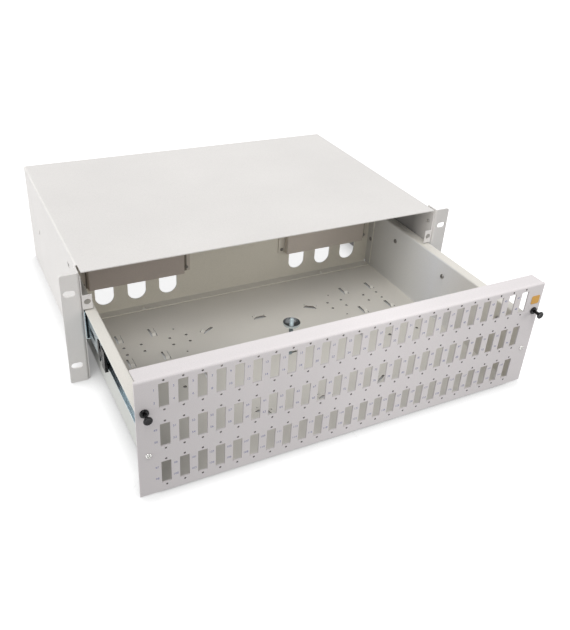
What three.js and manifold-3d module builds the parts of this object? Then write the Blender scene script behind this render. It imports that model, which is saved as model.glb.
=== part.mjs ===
// Slide-out fibre termination drawer for a 19-inch rack, three rack units high and 300 mm deep.
// A bent steel housing with two rack ears carries a drawer on a pair of three-member ball slides.
// The drawer holds the adapter panel, the cable-entry wall and the splice hold-down.
//
// Millimetres, +Z up, +X to the right as one faces the box, +Y towards the rear.
// While building, y is counted from the front face of the adapter panel and z from the foot of
// the box. The finished group is then shifted so that its origin is the centre of the footprint.
import * as THREE from "three";
import { mergeVertices } from "three/addons/utils/BufferGeometryUtils.js";
import Module from "manifold-3d";

const wasm = await Module();
wasm.setup();

// ---------------------------------------------------------------- driving dimensions
const EAR_SPAN = 482.6; // across both rack ears
const EAR_HEIGHT = 132.5; // three rack units less the usual clearance
const EAR_T = 2.0;
const EAR_LEG_DEPTH = 18.0;
const EAR_SLOT_X = 233.0;
const EAR_SLOT_PITCH = 88.9;
const EAR_SLOT = [12.0, 7.0];
const EAR_SCREW_Y = 198.4;
const EAR_SCREW_Z = [18.2, 114.3];

const SHEET = 1.2; // housing, drawer and rear wall
const DRAWER_OUT = 186.5; // how far the drawer stands out of the housing here
const EAR_Y = 188.0; // front face of the rack ears
const SHELL_FRONT = 190.2;
const SHELL_REAR = 492.0;
const SHELL_X = 221.2; // outer half width of the housing
const SHELL_TOP = 132.4;
const SHELL_SLOT_Y = [236.8, 247.2]; // second ear position
const REAR_LIP = 18.0; // depth of the lid's rear stiffening lip
const TAB = { x0: 210.5, y: 188.7, z0: 88.9, z1: 105.3, hole: 3.5 };

const PANEL_W = 445.8;
const PANEL_Z = [2.2, 130.8];
const PANEL_T = 1.5;
const HEM_DEPTH = 18.2;
const HEM_HALF = 220.9;
const COLUMNS = 24;
const COLUMN_PITCH = 17.2;
const ROW_Z = [24.7, 68.0, 111.3];
const CUTOUT = [9.2, 25.2];
const LATCH = { x: 215.5, z: 97.5 };
const PANEL_SCREW = { x: 213.5, z: 48.8 };

const TRAY_X = 208.0; // outer half width of the drawer walls
const TRAY_FLOOR = 3.4; // underside of the drawer floor
const TRAY_TOP = 87.0;
const TRAY_FLANGE_X = 218.8;
const TRAY_Y = [3.0, 305.5];
const FRONT_LUG = { y0: 1.8, z0: 12.0, z1: 80.0, x1: 218.4 };

const REAR_WALL_Y = 304.3;
const REAR_WALL_TOP = 84.5;
const REAR_FLANGE = 12.0;
const CABLE_HOLE_X = [91.5, 131.7, 172.0];
const CABLE_HOLE_R = 11.5;
const CABLE_HOLE_Z = [28.0, 58.0]; // centres of the lower and upper rounds
const COVER = { x0: 72.0, x1: 191.5, z0: 45.0, z1: 82.5, y: 295.6, foot: 9.5 };
const COVER_SCREW_X = [67.2, 196.4];
const COVER_SCREW_Z = [50.0, 76.5];
const REAR_RIVET_X = 127.0;
const REAR_RIVET_Z = 45.0;

const SLIDE_Z = 67.0; // centre line of the ball slides
const SLIDE_OUTER = { y0: 192.0, y1: 462.0, web: 219.2, lip: 212.5, half: 16.8 };
const SLIDE_MIDDLE = { y0: 126.0, y1: 363.0, web: 216.3, lip: 210.6, half: 13.2 };
const SLIDE_INNER = { y0: 4.0, y1: 274.0, web: 208.8, lip: 214.4, half: 9.6 };
const SLIDE_T = 1.0;
const BALL_R = 1.0;
const OUTER_RIVET_Y = [222.0, 427.3];
const INNER_SCREW_Y = [37.0, 139.3, 241.4];
const LEVER = { x0: 210.9, x1: 212.9, pivotY: 132.0 };

const STUD = { y: 143.0, r: 2.4, top: 52.2 };
const NUT = { rim: 48.1, rimR: 10.0, cup: 43.8, foot: 41.2, bore: 2.75 };

// floor features: [x, y, turn in degrees] of each lanced tie bridge, mirrored where x isn't 0
const TIE_BRIDGES = [
  [173.5, 242.4, 90],
  [133.0, 242.4, 90],
  [173.5, 192.7, 90],
  [133.0, 192.7, 90],
  [71.5, 224.0, -32],
  [0.0, 226.6, 0],
  [102.0, 143.0, 90],
  [173.5, 93.3, 90],
  [133.0, 93.3, 90],
  [173.5, 43.6, 90],
  [133.0, 43.6, 90],
  [71.5, 62.0, 32],
  [0.0, 59.4, 0],
];
const BRIDGE = { opening: 6.8, strip: 4.6, rise: 2.4 };
const FLOOR_HOLES = [
  [173.0, 223.6, 1.7],
  [173.0, 209.6, 1.7],
  [152.6, 223.6, 1.7],
  [152.6, 209.6, 1.7],
  [117.9, 223.6, 1.7],
  [117.9, 209.6, 1.7],
  [97.5, 223.6, 1.7],
  [97.5, 209.6, 1.7],
  [107.7, 240.2, 1.1],
  [107.7, 191.0, 1.1],
  [133.0, 130.5, 2.0],
  [173.0, 130.0, 1.8],
];

// ---------------------------------------------------------------- finishes
const paint = (hex, roughness = 0.55) =>
  new THREE.MeshStandardMaterial({ color: hex, roughness, metalness: 0.0 });
const LIGHT_PAINT = () => paint(0xdedcd9);
const PANEL_PAINT = () => paint(0xcfccd0);
const TRAY_PAINT = () => paint(0xd2d0c9);
const COVER_PAINT = () => paint(0xa39b97, 0.6);
const ZINC = () => new THREE.MeshStandardMaterial({ color: 0xb4bcc2, roughness: 0.34, metalness: 0.9 });
const BRIGHT_ZINC = () => new THREE.MeshStandardMaterial({ color: 0xa9bcc4, roughness: 0.25, metalness: 0.95 });
const STEEL = () => new THREE.MeshStandardMaterial({ color: 0xb9b8b4, roughness: 0.35, metalness: 0.9 });
const BRASS_CAGE = () => new THREE.MeshStandardMaterial({ color: 0x9ba0a3, roughness: 0.4, metalness: 0.8 });
const BLACK_NYLON = () => new THREE.MeshStandardMaterial({ color: 0x121213, roughness: 0.38, metalness: 0.0 });
const STICKER = () => new THREE.MeshStandardMaterial({ color: 0xe0a54a, roughness: 0.45, metalness: 0.0 });

// ---------------------------------------------------------------- helpers
// The same triangles with every face turned outwards.
function outward(geometry) {
  const g = geometry.index ? geometry.toNonIndexed() : geometry.clone();
  for (const name of Object.keys(g.attributes)) if (name !== "position") g.deleteAttribute(name);
  const p = g.attributes.position.array;
  let volume = 0;
  for (let i = 0; i < p.length; i += 9) {
    const [ax, ay, az, bx, by, bz, cx, cy, cz] = p.slice(i, i + 9);
    volume += ax * (by * cz - bz * cy) + ay * (bz * cx - bx * cz) + az * (bx * cy - by * cx);
  }
  if (volume < 0)
    for (let i = 0; i < p.length; i += 9)
      for (let k = 0; k < 3; k++) [p[i + 3 + k], p[i + 6 + k]] = [p[i + 6 + k], p[i + 3 + k]];
  return g;
}

function solid(geometry) {
  const merged = mergeVertices(outward(geometry), 1e-4);
  const index = merged.index.array;
  const kept = [];
  for (let i = 0; i < index.length; i += 3) {
    const [a, b, c] = [index[i], index[i + 1], index[i + 2]];
    if (a !== b && b !== c && c !== a) kept.push(a, b, c);
  }
  return new wasm.Manifold(
    new wasm.Mesh({
      numProp: 3,
      vertProperties: new Float32Array(merged.attributes.position.array),
      triVerts: new Uint32Array(kept),
    }),
  );
}

function shapeOf(body) {
  const mesh = body.getMesh();
  const g = new THREE.BufferGeometry();
  g.setAttribute("position", new THREE.BufferAttribute(new Float32Array(mesh.vertProperties), 3));
  g.setIndex(new THREE.BufferAttribute(new Uint32Array(mesh.triVerts), 1));
  const flat = g.toNonIndexed();
  flat.computeVertexNormals();
  return flat;
}

const finished = (geometry) => {
  const g = outward(geometry);
  g.computeVertexNormals();
  return g;
};

function mirrored(geometry) {
  const g = geometry.clone();
  g.scale(-1, 1, 1);
  return finished(g);
}

const boxGeometry = (x0, x1, y0, y1, z0, z1) =>
  new THREE.BoxGeometry(x1 - x0, y1 - y0, z1 - z0).translate((x0 + x1) / 2, (y0 + y1) / 2, (z0 + z1) / 2);
const box = (...limits) => solid(boxGeometry(...limits));

// A flat outline drawn out along an axis: "z" takes (x, y) points, "y" takes (x, z), "x" takes (y, z).
function prismGeometry(points, axis, from, to) {
  const shape = new THREE.Shape(points.map(([u, v]) => new THREE.Vector2(u, v)));
  const g = new THREE.ExtrudeGeometry(shape, { depth: to - from, bevelEnabled: false });
  if (axis === "z") return g.translate(0, 0, from);
  const turn = new THREE.Matrix4();
  if (axis === "y")
    turn.makeBasis(new THREE.Vector3(1, 0, 0), new THREE.Vector3(0, 0, 1), new THREE.Vector3(0, -1, 0));
  else turn.makeBasis(new THREE.Vector3(0, 1, 0), new THREE.Vector3(0, 0, 1), new THREE.Vector3(1, 0, 0));
  g.applyMatrix4(turn);
  return axis === "y" ? g.translate(0, to, 0) : g.translate(from, 0, 0);
}
const prism = (...args) => solid(prismGeometry(...args));

// The section of a bent sheet: a middle line with rounded corners, thickened to both sides.
function sheetSection(line, thickness, bend, steps = 4) {
  const left = [];
  const right = [];
  const push = (x, y, nx, ny) => {
    left.push([x + (nx * thickness) / 2, y + (ny * thickness) / 2]);
    right.push([x - (nx * thickness) / 2, y - (ny * thickness) / 2]);
  };
  const unit = (a, b) => {
    const d = Math.hypot(b[0] - a[0], b[1] - a[1]);
    return [(b[0] - a[0]) / d, (b[1] - a[1]) / d];
  };
  const last = line.length - 1;
  let d = unit(line[0], line[1]);
  push(line[0][0], line[0][1], -d[1], d[0]);
  for (let i = 1; i < last; i++) {
    const a = unit(line[i - 1], line[i]);
    const b = unit(line[i], line[i + 1]);
    const side = Math.sign(a[0] * b[1] - a[1] * b[0]);
    const angle = Math.acos(Math.min(1, Math.max(-1, a[0] * b[0] + a[1] * b[1])));
    const reach = bend * Math.tan(angle / 2);
    const centre = [
      line[i][0] - a[0] * reach - a[1] * side * bend,
      line[i][1] - a[1] * reach + a[0] * side * bend,
    ];
    for (let k = 0; k <= steps; k++) {
      const t = (side * angle * k) / steps;
      const dx = a[0] * Math.cos(t) - a[1] * Math.sin(t);
      const dy = a[0] * Math.sin(t) + a[1] * Math.cos(t);
      push(centre[0] + dy * side * bend, centre[1] - dx * side * bend, -dy, dx);
    }
  }
  d = unit(line[last - 1], line[last]);
  push(line[last][0], line[last][1], -d[1], d[0]);
  return [...left, ...right.reverse()];
}

// A round bar between two heights of one axis.
function rod(axis, a, b, u, v, radius, sides = 14, radiusEnd = radius) {
  const g = new THREE.CylinderGeometry(radiusEnd, radius, b - a, sides);
  if (axis === "y") return g.translate(u, (a + b) / 2, v);
  if (axis === "x") return g.rotateZ(-Math.PI / 2).translate((a + b) / 2, u, v);
  return g.rotateX(Math.PI / 2).translate(u, v, (a + b) / 2);
}

// An obround outline centred on (u, v), long along the first direction.
function obround(u, v, length, width, steps = 6) {
  const r = width / 2;
  const half = length / 2 - r;
  const points = [];
  for (let k = 0; k <= steps; k++) {
    const t = -Math.PI / 2 + (Math.PI * k) / steps;
    points.push([u + half + r * Math.cos(t), v + r * Math.sin(t)]);
  }
  for (let k = 0; k <= steps; k++) {
    const t = Math.PI / 2 + (Math.PI * k) / steps;
    points.push([u - half + r * Math.cos(t), v + r * Math.sin(t)]);
  }
  return points;
}

// A turned piece: profile of [radius, height] pairs, its axis then laid along +X, +Y or +Z.
function turned(profile, axis, place, sides = 14, closed = false) {
  const points = profile.map(([r, h]) => new THREE.Vector2(r, h));
  if (closed) points.push(points[0].clone());
  const g = new THREE.LatheGeometry(points, sides);
  if (axis === "x") g.rotateZ(-Math.PI / 2);
  if (axis === "z") g.rotateX(Math.PI / 2);
  return finished(g.translate(...place));
}

const group = new THREE.Group();
group.position.set(0, -240, 0); // the origin is the centre of the footprint
const parts = {};
function add(name, geometry, material) {
  const mesh = new THREE.Mesh(geometry, material);
  mesh.name = name;
  parts[name] = mesh;
  group.add(mesh);
}
function addPair(name, rightGeometry, material, suffix = "") {
  add(`${name}_right${suffix}`, rightGeometry, material());
  add(`${name}_left${suffix}`, mirrored(rightGeometry), material());
}

// ---------------------------------------------------------------- housing
{
  const mid = SHELL_X - SHEET / 2;
  const top = SHELL_TOP - SHEET / 2;
  let shell = prism(
    sheetSection([[-mid, 0], [-mid, top], [mid, top], [mid, 0]], SHEET, 1.8),
    "y",
    SHELL_FRONT,
    SHELL_REAR,
  );
  // rear stiffening lip, turned down from the lid
  shell = shell.add(box(-mid + 2.6, mid - 2.6, SHELL_REAR - SHEET, SHELL_REAR, SHELL_TOP - REAR_LIP, SHELL_TOP - 0.4));
  for (const s of [-1, 1]) {
    const span = (a, b) => [Math.min(s * a, s * b), Math.max(s * a, s * b)];
    // latch tab, turned in from the front edge of each side
    shell = shell.add(box(...span(TAB.x0, SHELL_X), TAB.y, TAB.y + SHEET, TAB.z0, TAB.z1));
    shell = shell.add(box(...span(SHELL_X - SHEET, SHELL_X), TAB.y, SHELL_FRONT + 0.5, TAB.z0, TAB.z1));
    shell = shell.subtract(solid(rod("y", TAB.y - 2, TAB.y + 4, s * LATCH.x, LATCH.z, TAB.hole, 18)));
    // corner notch that lets the drawer's hem in
    shell = shell.subtract(box(...span(219.2, 223), SHELL_FRONT - 1, 206.5, 127, 134));
    for (const z of EAR_SCREW_Z) {
      shell = shell.subtract(solid(rod("x", ...span(218, 224), EAR_SCREW_Y, z, 2.3, 12)));
      shell = shell.subtract(
        prism(
          obround((SHELL_SLOT_Y[0] + SHELL_SLOT_Y[1]) / 2, z, SHELL_SLOT_Y[1] - SHELL_SLOT_Y[0], 4.4, 5),
          "x",
          ...span(218, 224),
        ),
      );
    }
    for (const y of OUTER_RIVET_Y)
      shell = shell.subtract(solid(rod("x", ...span(218, 224), y, SLIDE_Z, 2.1, 10)));
  }
  add("housing_shell", shapeOf(shell), LIGHT_PAINT());
}

// rack ears: an angle with two obround rack slots and two countersunk fixing holes
{
  const inner = SHELL_X + 0.3;
  let ear = prism(
    sheetSection(
      [[inner + EAR_T / 2, EAR_Y + EAR_LEG_DEPTH], [inner + EAR_T / 2, EAR_Y + EAR_T / 2], [EAR_SPAN / 2, EAR_Y + EAR_T / 2]],
      EAR_T,
      2.0,
    ),
    "z",
    0,
    EAR_HEIGHT,
  );
  for (const k of [-1, 1])
    ear = ear.subtract(
      prism(obround(EAR_SLOT_X, EAR_HEIGHT / 2 + (k * EAR_SLOT_PITCH) / 2, ...EAR_SLOT, 7), "y", EAR_Y - 2, EAR_Y + EAR_T + 2),
    );
  // rounded outer corners
  const r = 2.5;
  for (const [z, k] of [[0, 1], [EAR_HEIGHT, -1]]) {
    const corner = [[EAR_SPAN / 2 + 1, z - k], [EAR_SPAN / 2 + 1, z + k * r]];
    for (let i = 0; i <= 4; i++) {
      const t = (Math.PI / 2) * (i / 4);
      corner.push([EAR_SPAN / 2 - r + r * Math.cos(t), z + k * (r - r * Math.sin(t))]);
    }
    corner.push([EAR_SPAN / 2 - r, z - k]);
    ear = ear.subtract(prism(corner, "y", EAR_Y - 2, EAR_Y + EAR_T + 2));
  }
  for (const z of EAR_SCREW_Z) {
    ear = ear.subtract(solid(rod("x", inner - 1, inner + EAR_T + 1, EAR_SCREW_Y, z, 2.3, 12)));
    ear = ear.subtract(solid(rod("x", inner + 0.2, inner + EAR_T + 0.01, EAR_SCREW_Y, z, 2.3, 12, 4.1)));
  }
  addPair("ear_bracket", shapeOf(ear), LIGHT_PAINT);
  EAR_SCREW_Z.forEach((z, i) => {
    const screw = turned(
      [[0, -2.6], [1.9, -2.6], [1.9, 0.6], [3.5, 2.2], [3.5, 2.35], [0, 2.35]],
      "x",
      [inner - 0.4, EAR_SCREW_Y, z],
      10,
    );
    addPair("ear_screw", screw, STEEL, i ? "_upper" : "_lower");
  });
}

// ---------------------------------------------------------------- ball slides
function slideMember({ y0, y1, web, lip, half }) {
  return prism(
    sheetSection(
      [[lip, SLIDE_Z - half], [web, SLIDE_Z - half], [web, SLIDE_Z + half], [lip, SLIDE_Z + half]],
      SLIDE_T,
      1.1,
      3,
    ),
    "y",
    y0,
    y1,
  );
}
{
  let outer = slideMember(SLIDE_OUTER);
  for (const y of OUTER_RIVET_Y) outer = outer.subtract(solid(rod("x", 217, 221, y, SLIDE_Z, 2.1, 10)));
  addPair("slide_outer", shapeOf(outer), ZINC);
  OUTER_RIVET_Y.forEach((y, i) => {
    const rivet = turned(
      [[0, 0], [1.8, 0], [1.8, 2.5], [3.1, 2.5], [2.9, 3.0], [1.6, 3.4], [0, 3.5]],
      "x",
      [219.0, y, SLIDE_Z],
      10,
    );
    addPair("slide_outer_rivet", rivet, LIGHT_PAINT, i ? "_rear" : "_front");
  });

  addPair("slide_middle", shapeOf(slideMember(SLIDE_MIDDLE)), ZINC);
  // bumper clipped to the front end of the middle member
  const front = SLIDE_MIDDLE.y0;
  let bumper = box(217.1, 218.2, front - 2, front + 21, SLIDE_Z - 12.4, SLIDE_Z + 12.4);
  for (const k of [-1, 1])
    bumper = bumper.subtract(box(216, 219, front + 7.5, front + 15.5, Math.min(SLIDE_Z + k * 4, SLIDE_Z + k * 14), Math.max(SLIDE_Z + k * 4, SLIDE_Z + k * 14)));
  bumper = bumper.add(box(214.9, 218.2, front - 4.5, front - 0.3, SLIDE_Z - 12.4, SLIDE_Z + 12.4));
  addPair("slide_bumper", shapeOf(bumper), BLACK_NYLON);

  let inner = slideMember(SLIDE_INNER);
  for (const y of INNER_SCREW_Y) inner = inner.subtract(solid(rod("x", 207, 211, y, SLIDE_Z, 2.0, 10)));
  inner = inner.subtract(solid(rod("x", 207, 211, LEVER.pivotY, SLIDE_Z, 1.6, 10)));
  addPair("slide_inner", shapeOf(inner), ZINC);
  INNER_SCREW_Y.forEach((y, i) => {
    const screw = turned(
      [[0, 0], [1.7, 0.2], [2.9, 1.1], [3.0, 1.7], [1.7, 1.7], [1.7, 5.4], [0, 5.4]],
      "x",
      [204.8, y, SLIDE_Z],
      10,
    );
    addPair("slide_inner_screw", screw, STEEL, ["_front", "_middle", "_rear"][i]);
  });

  // release lever: pressed up or down to let the drawer off the slides
  const { x0, x1, pivotY } = LEVER;
  const outline = [
    [pivotY + 16, SLIDE_Z - 1.5], [pivotY + 16, SLIDE_Z + 1.5], [pivotY + 5.5, SLIDE_Z + 2.2], [pivotY + 2, SLIDE_Z + 4.6], [pivotY - 3, SLIDE_Z + 4.6],
    [pivotY - 10, SLIDE_Z + 2.2], [pivotY - 26, SLIDE_Z + 2.2], [pivotY - 29, SLIDE_Z + 4.2], [pivotY - 34, SLIDE_Z + 4.2],
    [pivotY - 34, SLIDE_Z - 4.2], [pivotY - 29, SLIDE_Z - 4.2], [pivotY - 26, SLIDE_Z - 2.2], [pivotY - 10, SLIDE_Z - 2.2],
    [pivotY - 3, SLIDE_Z - 4.6], [pivotY + 2, SLIDE_Z - 4.6], [pivotY + 5.5, SLIDE_Z - 2.2],
  ];
  let lever = prism(outline, "x", x0, x1);
  lever = lever.add(solid(rod("x", 208.6, x0 + 0.5, pivotY, SLIDE_Z, 1.2, 10)));
  addPair("slide_release_lever", shapeOf(lever), BLACK_NYLON);

  // ball cages: a thin channel with its two rows of captive balls
  const cage = (y0, y1, web, tip, ballX, half) => {
    let c = box(web, web + 0.6, y0, y1, SLIDE_Z - half - 0.4, SLIDE_Z + half + 0.4);
    for (const k of [-1, 1]) {
      const z = SLIDE_Z + k * half;
      c = c.add(box(tip, web + 0.6, y0, y1, z - 0.4, z + 0.4));
      for (let i = 0; i < 5; i++)
        c = c.add(
          solid(new THREE.SphereGeometry(BALL_R, 6, 4).rotateX(Math.PI / 2).translate(ballX, y0 + 10 + (i * (y1 - y0 - 20)) / 4, z)),
        );
    }
    // lightening windows in the web
    for (let i = 0; i < 4; i++)
      c = c.subtract(box(web - 1, web + 2, y0 + 8 + i * 23, y0 + 23 + i * 23, SLIDE_Z - half + 5, SLIDE_Z + half - 5));
    return shapeOf(c);
  };
  addPair("ball_cage_outer", cage(230.5, 330.5, 217.3, 213.2, 214.6, 15.0), BRASS_CAGE);
  addPair("ball_cage_inner", cage(142.0, 242.0, 214.8, 211.2, 212.6, 11.4), BRASS_CAGE);
}

// ---------------------------------------------------------------- drawer tray
{
  const wall = TRAY_X - SHEET / 2;
  const floor = TRAY_FLOOR + SHEET / 2;
  const top = TRAY_TOP - SHEET / 2;
  let tray = prism(
    sheetSection(
      [[-TRAY_FLANGE_X, top], [-wall, top], [-wall, floor], [wall, floor], [wall, top], [TRAY_FLANGE_X, top]],
      SHEET,
      1.6,
      3,
    ),
    "y",
    ...TRAY_Y,
  );
  for (const s of [-1, 1]) {
    const span = (a, b) => [Math.min(s * a, s * b), Math.max(s * a, s * b)];
    // lug behind the adapter panel
    tray = tray.add(box(...span(TRAY_X - SHEET, FRONT_LUG.x1), FRONT_LUG.y0, TRAY_Y[0], FRONT_LUG.z0, FRONT_LUG.z1));
    tray = tray.add(box(...span(TRAY_X - SHEET, TRAY_X), FRONT_LUG.y0, TRAY_Y[0] + 1, FRONT_LUG.z0, FRONT_LUG.z1));
    tray = tray.subtract(solid(rod("y", 0, 5, s * PANEL_SCREW.x, PANEL_SCREW.z, 1.9, 12)));
    for (const y of INNER_SCREW_Y) tray = tray.subtract(solid(rod("x", ...span(205, 209.5), y, SLIDE_Z, 2.0, 10)));
    tray = tray.subtract(solid(rod("x", ...span(205, 209.5), 296.0, REAR_RIVET_Z, 1.9, 10)));
    tray = tray.subtract(solid(rod("z", 2, 6, s * REAR_RIVET_X, 295.2, 1.9, 10)));
    for (const [x, y, r] of FLOOR_HOLES) tray = tray.subtract(solid(rod("z", 2, 6, s * x, y, r, 8)));
  }
  // slot that takes the neck of the hold-down stud
  tray = tray.subtract(prism(obround(0, STUD.y, 20, 2.6, 5), "z", 2, 6));
  // lanced tie bridges: a strip pushed up out of the floor
  const rise = BRIDGE.rise;
  const z0 = TRAY_FLOOR;
  const arch = [
    [-11, z0], [-7.6, z0], [-5.2, z0 + rise], [5.2, z0 + rise], [7.6, z0], [11, z0],
    [11, z0 + SHEET], [7.9, z0 + SHEET], [5.7, z0 + SHEET + rise], [-5.7, z0 + SHEET + rise], [-7.9, z0 + SHEET], [-11, z0 + SHEET],
  ];
  for (const [x, y, degrees] of TIE_BRIDGES)
    for (const s of x ? [1, -1] : [1]) {
      const place = (g) =>
        solid(g.rotateZ((s * degrees * Math.PI) / 180).translate(s * x, y, 0));
      tray = tray.subtract(place(new THREE.BoxGeometry(17, BRIDGE.opening, 4).translate(0, 0, z0 + SHEET / 2)));
      tray = tray.add(place(prismGeometry(arch, "y", -BRIDGE.strip / 2, BRIDGE.strip / 2)));
    }
  add("drawer_tray", shapeOf(tray), TRAY_PAINT());
}

// rear wall of the drawer, flanged forward on three sides
{
  const y = REAR_WALL_Y + SHEET / 2;
  const x = 206.5 - SHEET / 2;
  const z = TRAY_FLOOR + SHEET + 0.3;
  const y0 = REAR_WALL_Y + SHEET - REAR_FLANGE - 1;
  let wall = prism(
    sheetSection([[-x, y0], [-x, y], [x, y], [x, y0]], SHEET, 1.4, 3),
    "z",
    z + 3.2,
    REAR_WALL_TOP,
  );
  wall = wall.add(
    prism(sheetSection([[y0, z + SHEET / 2], [y, z + SHEET / 2], [y, REAR_WALL_TOP - 1]], SHEET, 1.4, 3), "x", -x + 1.6, x - 1.6),
  );
  for (const s of [-1, 1]) {
    const span = (a, b) => [Math.min(s * a, s * b), Math.max(s * a, s * b)];
    for (const cx of CABLE_HOLE_X) {
      const centre = (CABLE_HOLE_Z[0] + CABLE_HOLE_Z[1]) / 2;
      const long = CABLE_HOLE_Z[1] - CABLE_HOLE_Z[0] + 2 * CABLE_HOLE_R;
      const outline = obround(centre, s * cx, long, 2 * CABLE_HOLE_R, 8).map(([a, b]) => [b, a]);
      wall = wall.subtract(prism(outline, "y", REAR_WALL_Y - 3, REAR_WALL_Y + 4));
    }
    for (const sx of COVER_SCREW_X)
      for (const sz of COVER_SCREW_Z)
        wall = wall.subtract(solid(rod("y", REAR_WALL_Y - 3, REAR_WALL_Y + 4, s * sx, sz, 1.8, 10)));
    wall = wall.subtract(solid(rod("x", ...span(203, 208), 296.0, REAR_RIVET_Z, 1.9, 10)));
    wall = wall.subtract(solid(rod("z", z - 1, z + 3, s * REAR_RIVET_X, 295.2, 1.9, 10)));
  }
  add("rear_panel", shapeOf(wall), TRAY_PAINT());

  const rivet = [[0, 0], [1.6, 0], [1.6, 3.0], [2.9, 3.0], [2.7, 3.6], [1.4, 4.2], [0, 4.3]];
  addPair("rear_panel_rivet", turned(rivet, "z", [REAR_RIVET_X, 295.2, TRAY_FLOOR], 10), STEEL, "_floor");
  addPair(
    "rear_panel_rivet",
    turned(rivet.map(([r, h]) => [r, -h]), "x", [TRAY_X + 0.2, 296.0, REAR_RIVET_Z], 10),
    STEEL,
    "_side",
  );
}

// cable-entry covers: a hat section standing off the rear wall over the cable holes
{
  const { x0, x1, z0, z1, y, foot } = COVER;
  const t = SHEET / 2;
  const back = REAR_WALL_Y - 0.3 - t;
  let cover = prism(
    sheetSection(
      [[x0 - foot, back], [x0 + t, back], [x0 + t, y + t], [x1 - t, y + t], [x1 - t, back], [x1 + foot, back]],
      SHEET,
      1.1,
      3,
    ),
    "z",
    z0,
    z1,
  );
  COVER_SCREW_X.forEach((sx, i) => {
    for (const sz of COVER_SCREW_Z) cover = cover.subtract(solid(rod("y", 300, 306, sx, sz, 1.8, 10)));
  });
  addPair("cable_entry_cover", shapeOf(cover), COVER_PAINT);
  const screw = [[0, 0], [1.5, 0.15], [2.7, 0.9], [2.8, 1.6], [1.45, 1.6], [1.45, 6.2], [0, 6.2]];
  COVER_SCREW_X.forEach((sx, i) =>
    COVER_SCREW_Z.forEach((sz, j) =>
      addPair(
        "cover_screw",
        turned(screw, "y", [sx, back - t - 1.8, sz], 10),
        STEEL,
        `_${i ? "outer" : "inner"}_${j ? "upper" : "lower"}`,
      ),
    ),
  );
}

// ---------------------------------------------------------------- adapter panel
{
  const half = PANEL_W / 2;
  const y = PANEL_T / 2;
  const top = PANEL_Z[1] - PANEL_T / 2;
  let panel = prism(
    sheetSection([[y, PANEL_Z[0]], [y, top], [HEM_DEPTH, top]], PANEL_T, 1.9, 4),
    "x",
    -half,
    half,
  );
  for (const s of [-1, 1]) {
    const span = (a, b) => [Math.min(s * a, s * b), Math.max(s * a, s * b)];
    panel = panel.subtract(box(...span(HEM_HALF, half + 1), PANEL_T + 0.4, HEM_DEPTH + 1, 120, 135));
    panel = panel.subtract(solid(rod("y", -2, 4, s * LATCH.x, LATCH.z, 3.1, 14)));
    panel = panel.subtract(solid(rod("y", -2, 4, s * PANEL_SCREW.x, PANEL_SCREW.z, 1.9, 12)));
  }
  for (const z of ROW_Z)
    for (let i = 0; i < COLUMNS; i++) {
      const x = (i - (COLUMNS - 1) / 2) * COLUMN_PITCH;
      panel = panel.subtract(box(x - CUTOUT[0] / 2, x + CUTOUT[0] / 2, -1, 4, z - CUTOUT[1] / 2, z + CUTOUT[1] / 2));
    }
  add("front_panel", shapeOf(panel), PANEL_PAINT());

  addPair(
    "panel_screw",
    turned([[0, 0], [1.3, 0.1], [2.2, 0.7], [2.35, 1.4], [1.45, 1.4], [1.45, 7.1], [0, 7.1]], "y", [PANEL_SCREW.x, -1.7, PANEL_SCREW.z], 12),
    STEEL,
  );

  // push latch: a split grommet in the panel and the spool-shaped plunger that spreads it
  addPair(
    "latch_grommet",
    turned(
      [[1.95, -2.2], [3.7, -2.2], [4.1, -1.7], [4.1, -0.3], [2.75, -0.3], [2.75, 7.2], [2.3, 9.2], [1.45, 9.2], [1.45, 6.6], [1.95, 4.0]],
      "y",
      [LATCH.x, 0, LATCH.z],
      18,
      true,
    ),
    BLACK_NYLON,
  );
  addPair(
    "latch_plunger",
    turned(
      [[0, -12.0], [3.3, -12.0], [4.1, -11.2], [4.1, -10.2], [3.2, -9.3], [2.1, -8.4], [1.75, -7.0], [1.75, -5.4], [1.25, -4.2], [1.25, 4.6], [0.7, 5.2], [0, 5.2]],
      "y",
      [LATCH.x, 0, LATCH.z],
      18,
    ),
    BLACK_NYLON,
  );

  // blank adhesive marker beside the right latch
  const r = 1.6;
  const outline = [];
  for (const [cx, cz, from] of [[3.9, 3.4, 0], [-3.9, 3.4, 90], [-3.9, -3.4, 180], [3.9, -3.4, 270]])
    for (let k = 0; k <= 3; k++) {
      const t = ((from + 30 * k) * Math.PI) / 180;
      outline.push([214.5 + cx + r * Math.cos(t), 111.2 + cz + r * Math.sin(t)]);
    }
  add("blank_sticker", finished(prismGeometry(outline, "y", -0.4, -0.15)), STICKER());
}

// ---------------------------------------------------------------- splice hold-down
{
  add(
    "hold_down_stud",
    turned(
      [[0, 4.9], [3.4, 4.9], [3.4, 5.5], [STUD.r, 5.8], [STUD.r, STUD.top - 0.6], [STUD.r - 0.6, STUD.top], [0, STUD.top]],
      "y",
      [0, 0, 0],
      16,
    )
      .rotateX(Math.PI / 2)
      .translate(0, STUD.y, 0),
    BRIGHT_ZINC(),
  );
  const { rim, rimR, cup, foot, bore } = NUT;
  add(
    "hold_down_nut",
    turned(
      [
        [bore, foot], [4.4, foot], [5.4, foot + 1.0], [rimR - 1.0, rim - 3.6], [rimR, rim - 2.5],
        [rimR, rim], [rimR - 1.1, rim], [rimR - 1.7, rim - 2.0], [5.0, cup + 0.3], [bore, cup],
      ],
      "y",
      [0, 0, 0],
      28,
      true,
    )
      .rotateX(Math.PI / 2)
      .translate(0, STUD.y, 0),
    BRIGHT_ZINC(),
  );
}

export default group;
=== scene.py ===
# Looks of the slide-out fibre termination drawer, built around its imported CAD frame.
# Everything is metres in the frame's own axes; the fine meshes are laid out in millimetres with
# y counted from the front face of the adapter panel, then moved into the frame by place().
import math

import bmesh
import bpy
from mathutils import Matrix, Vector


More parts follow.
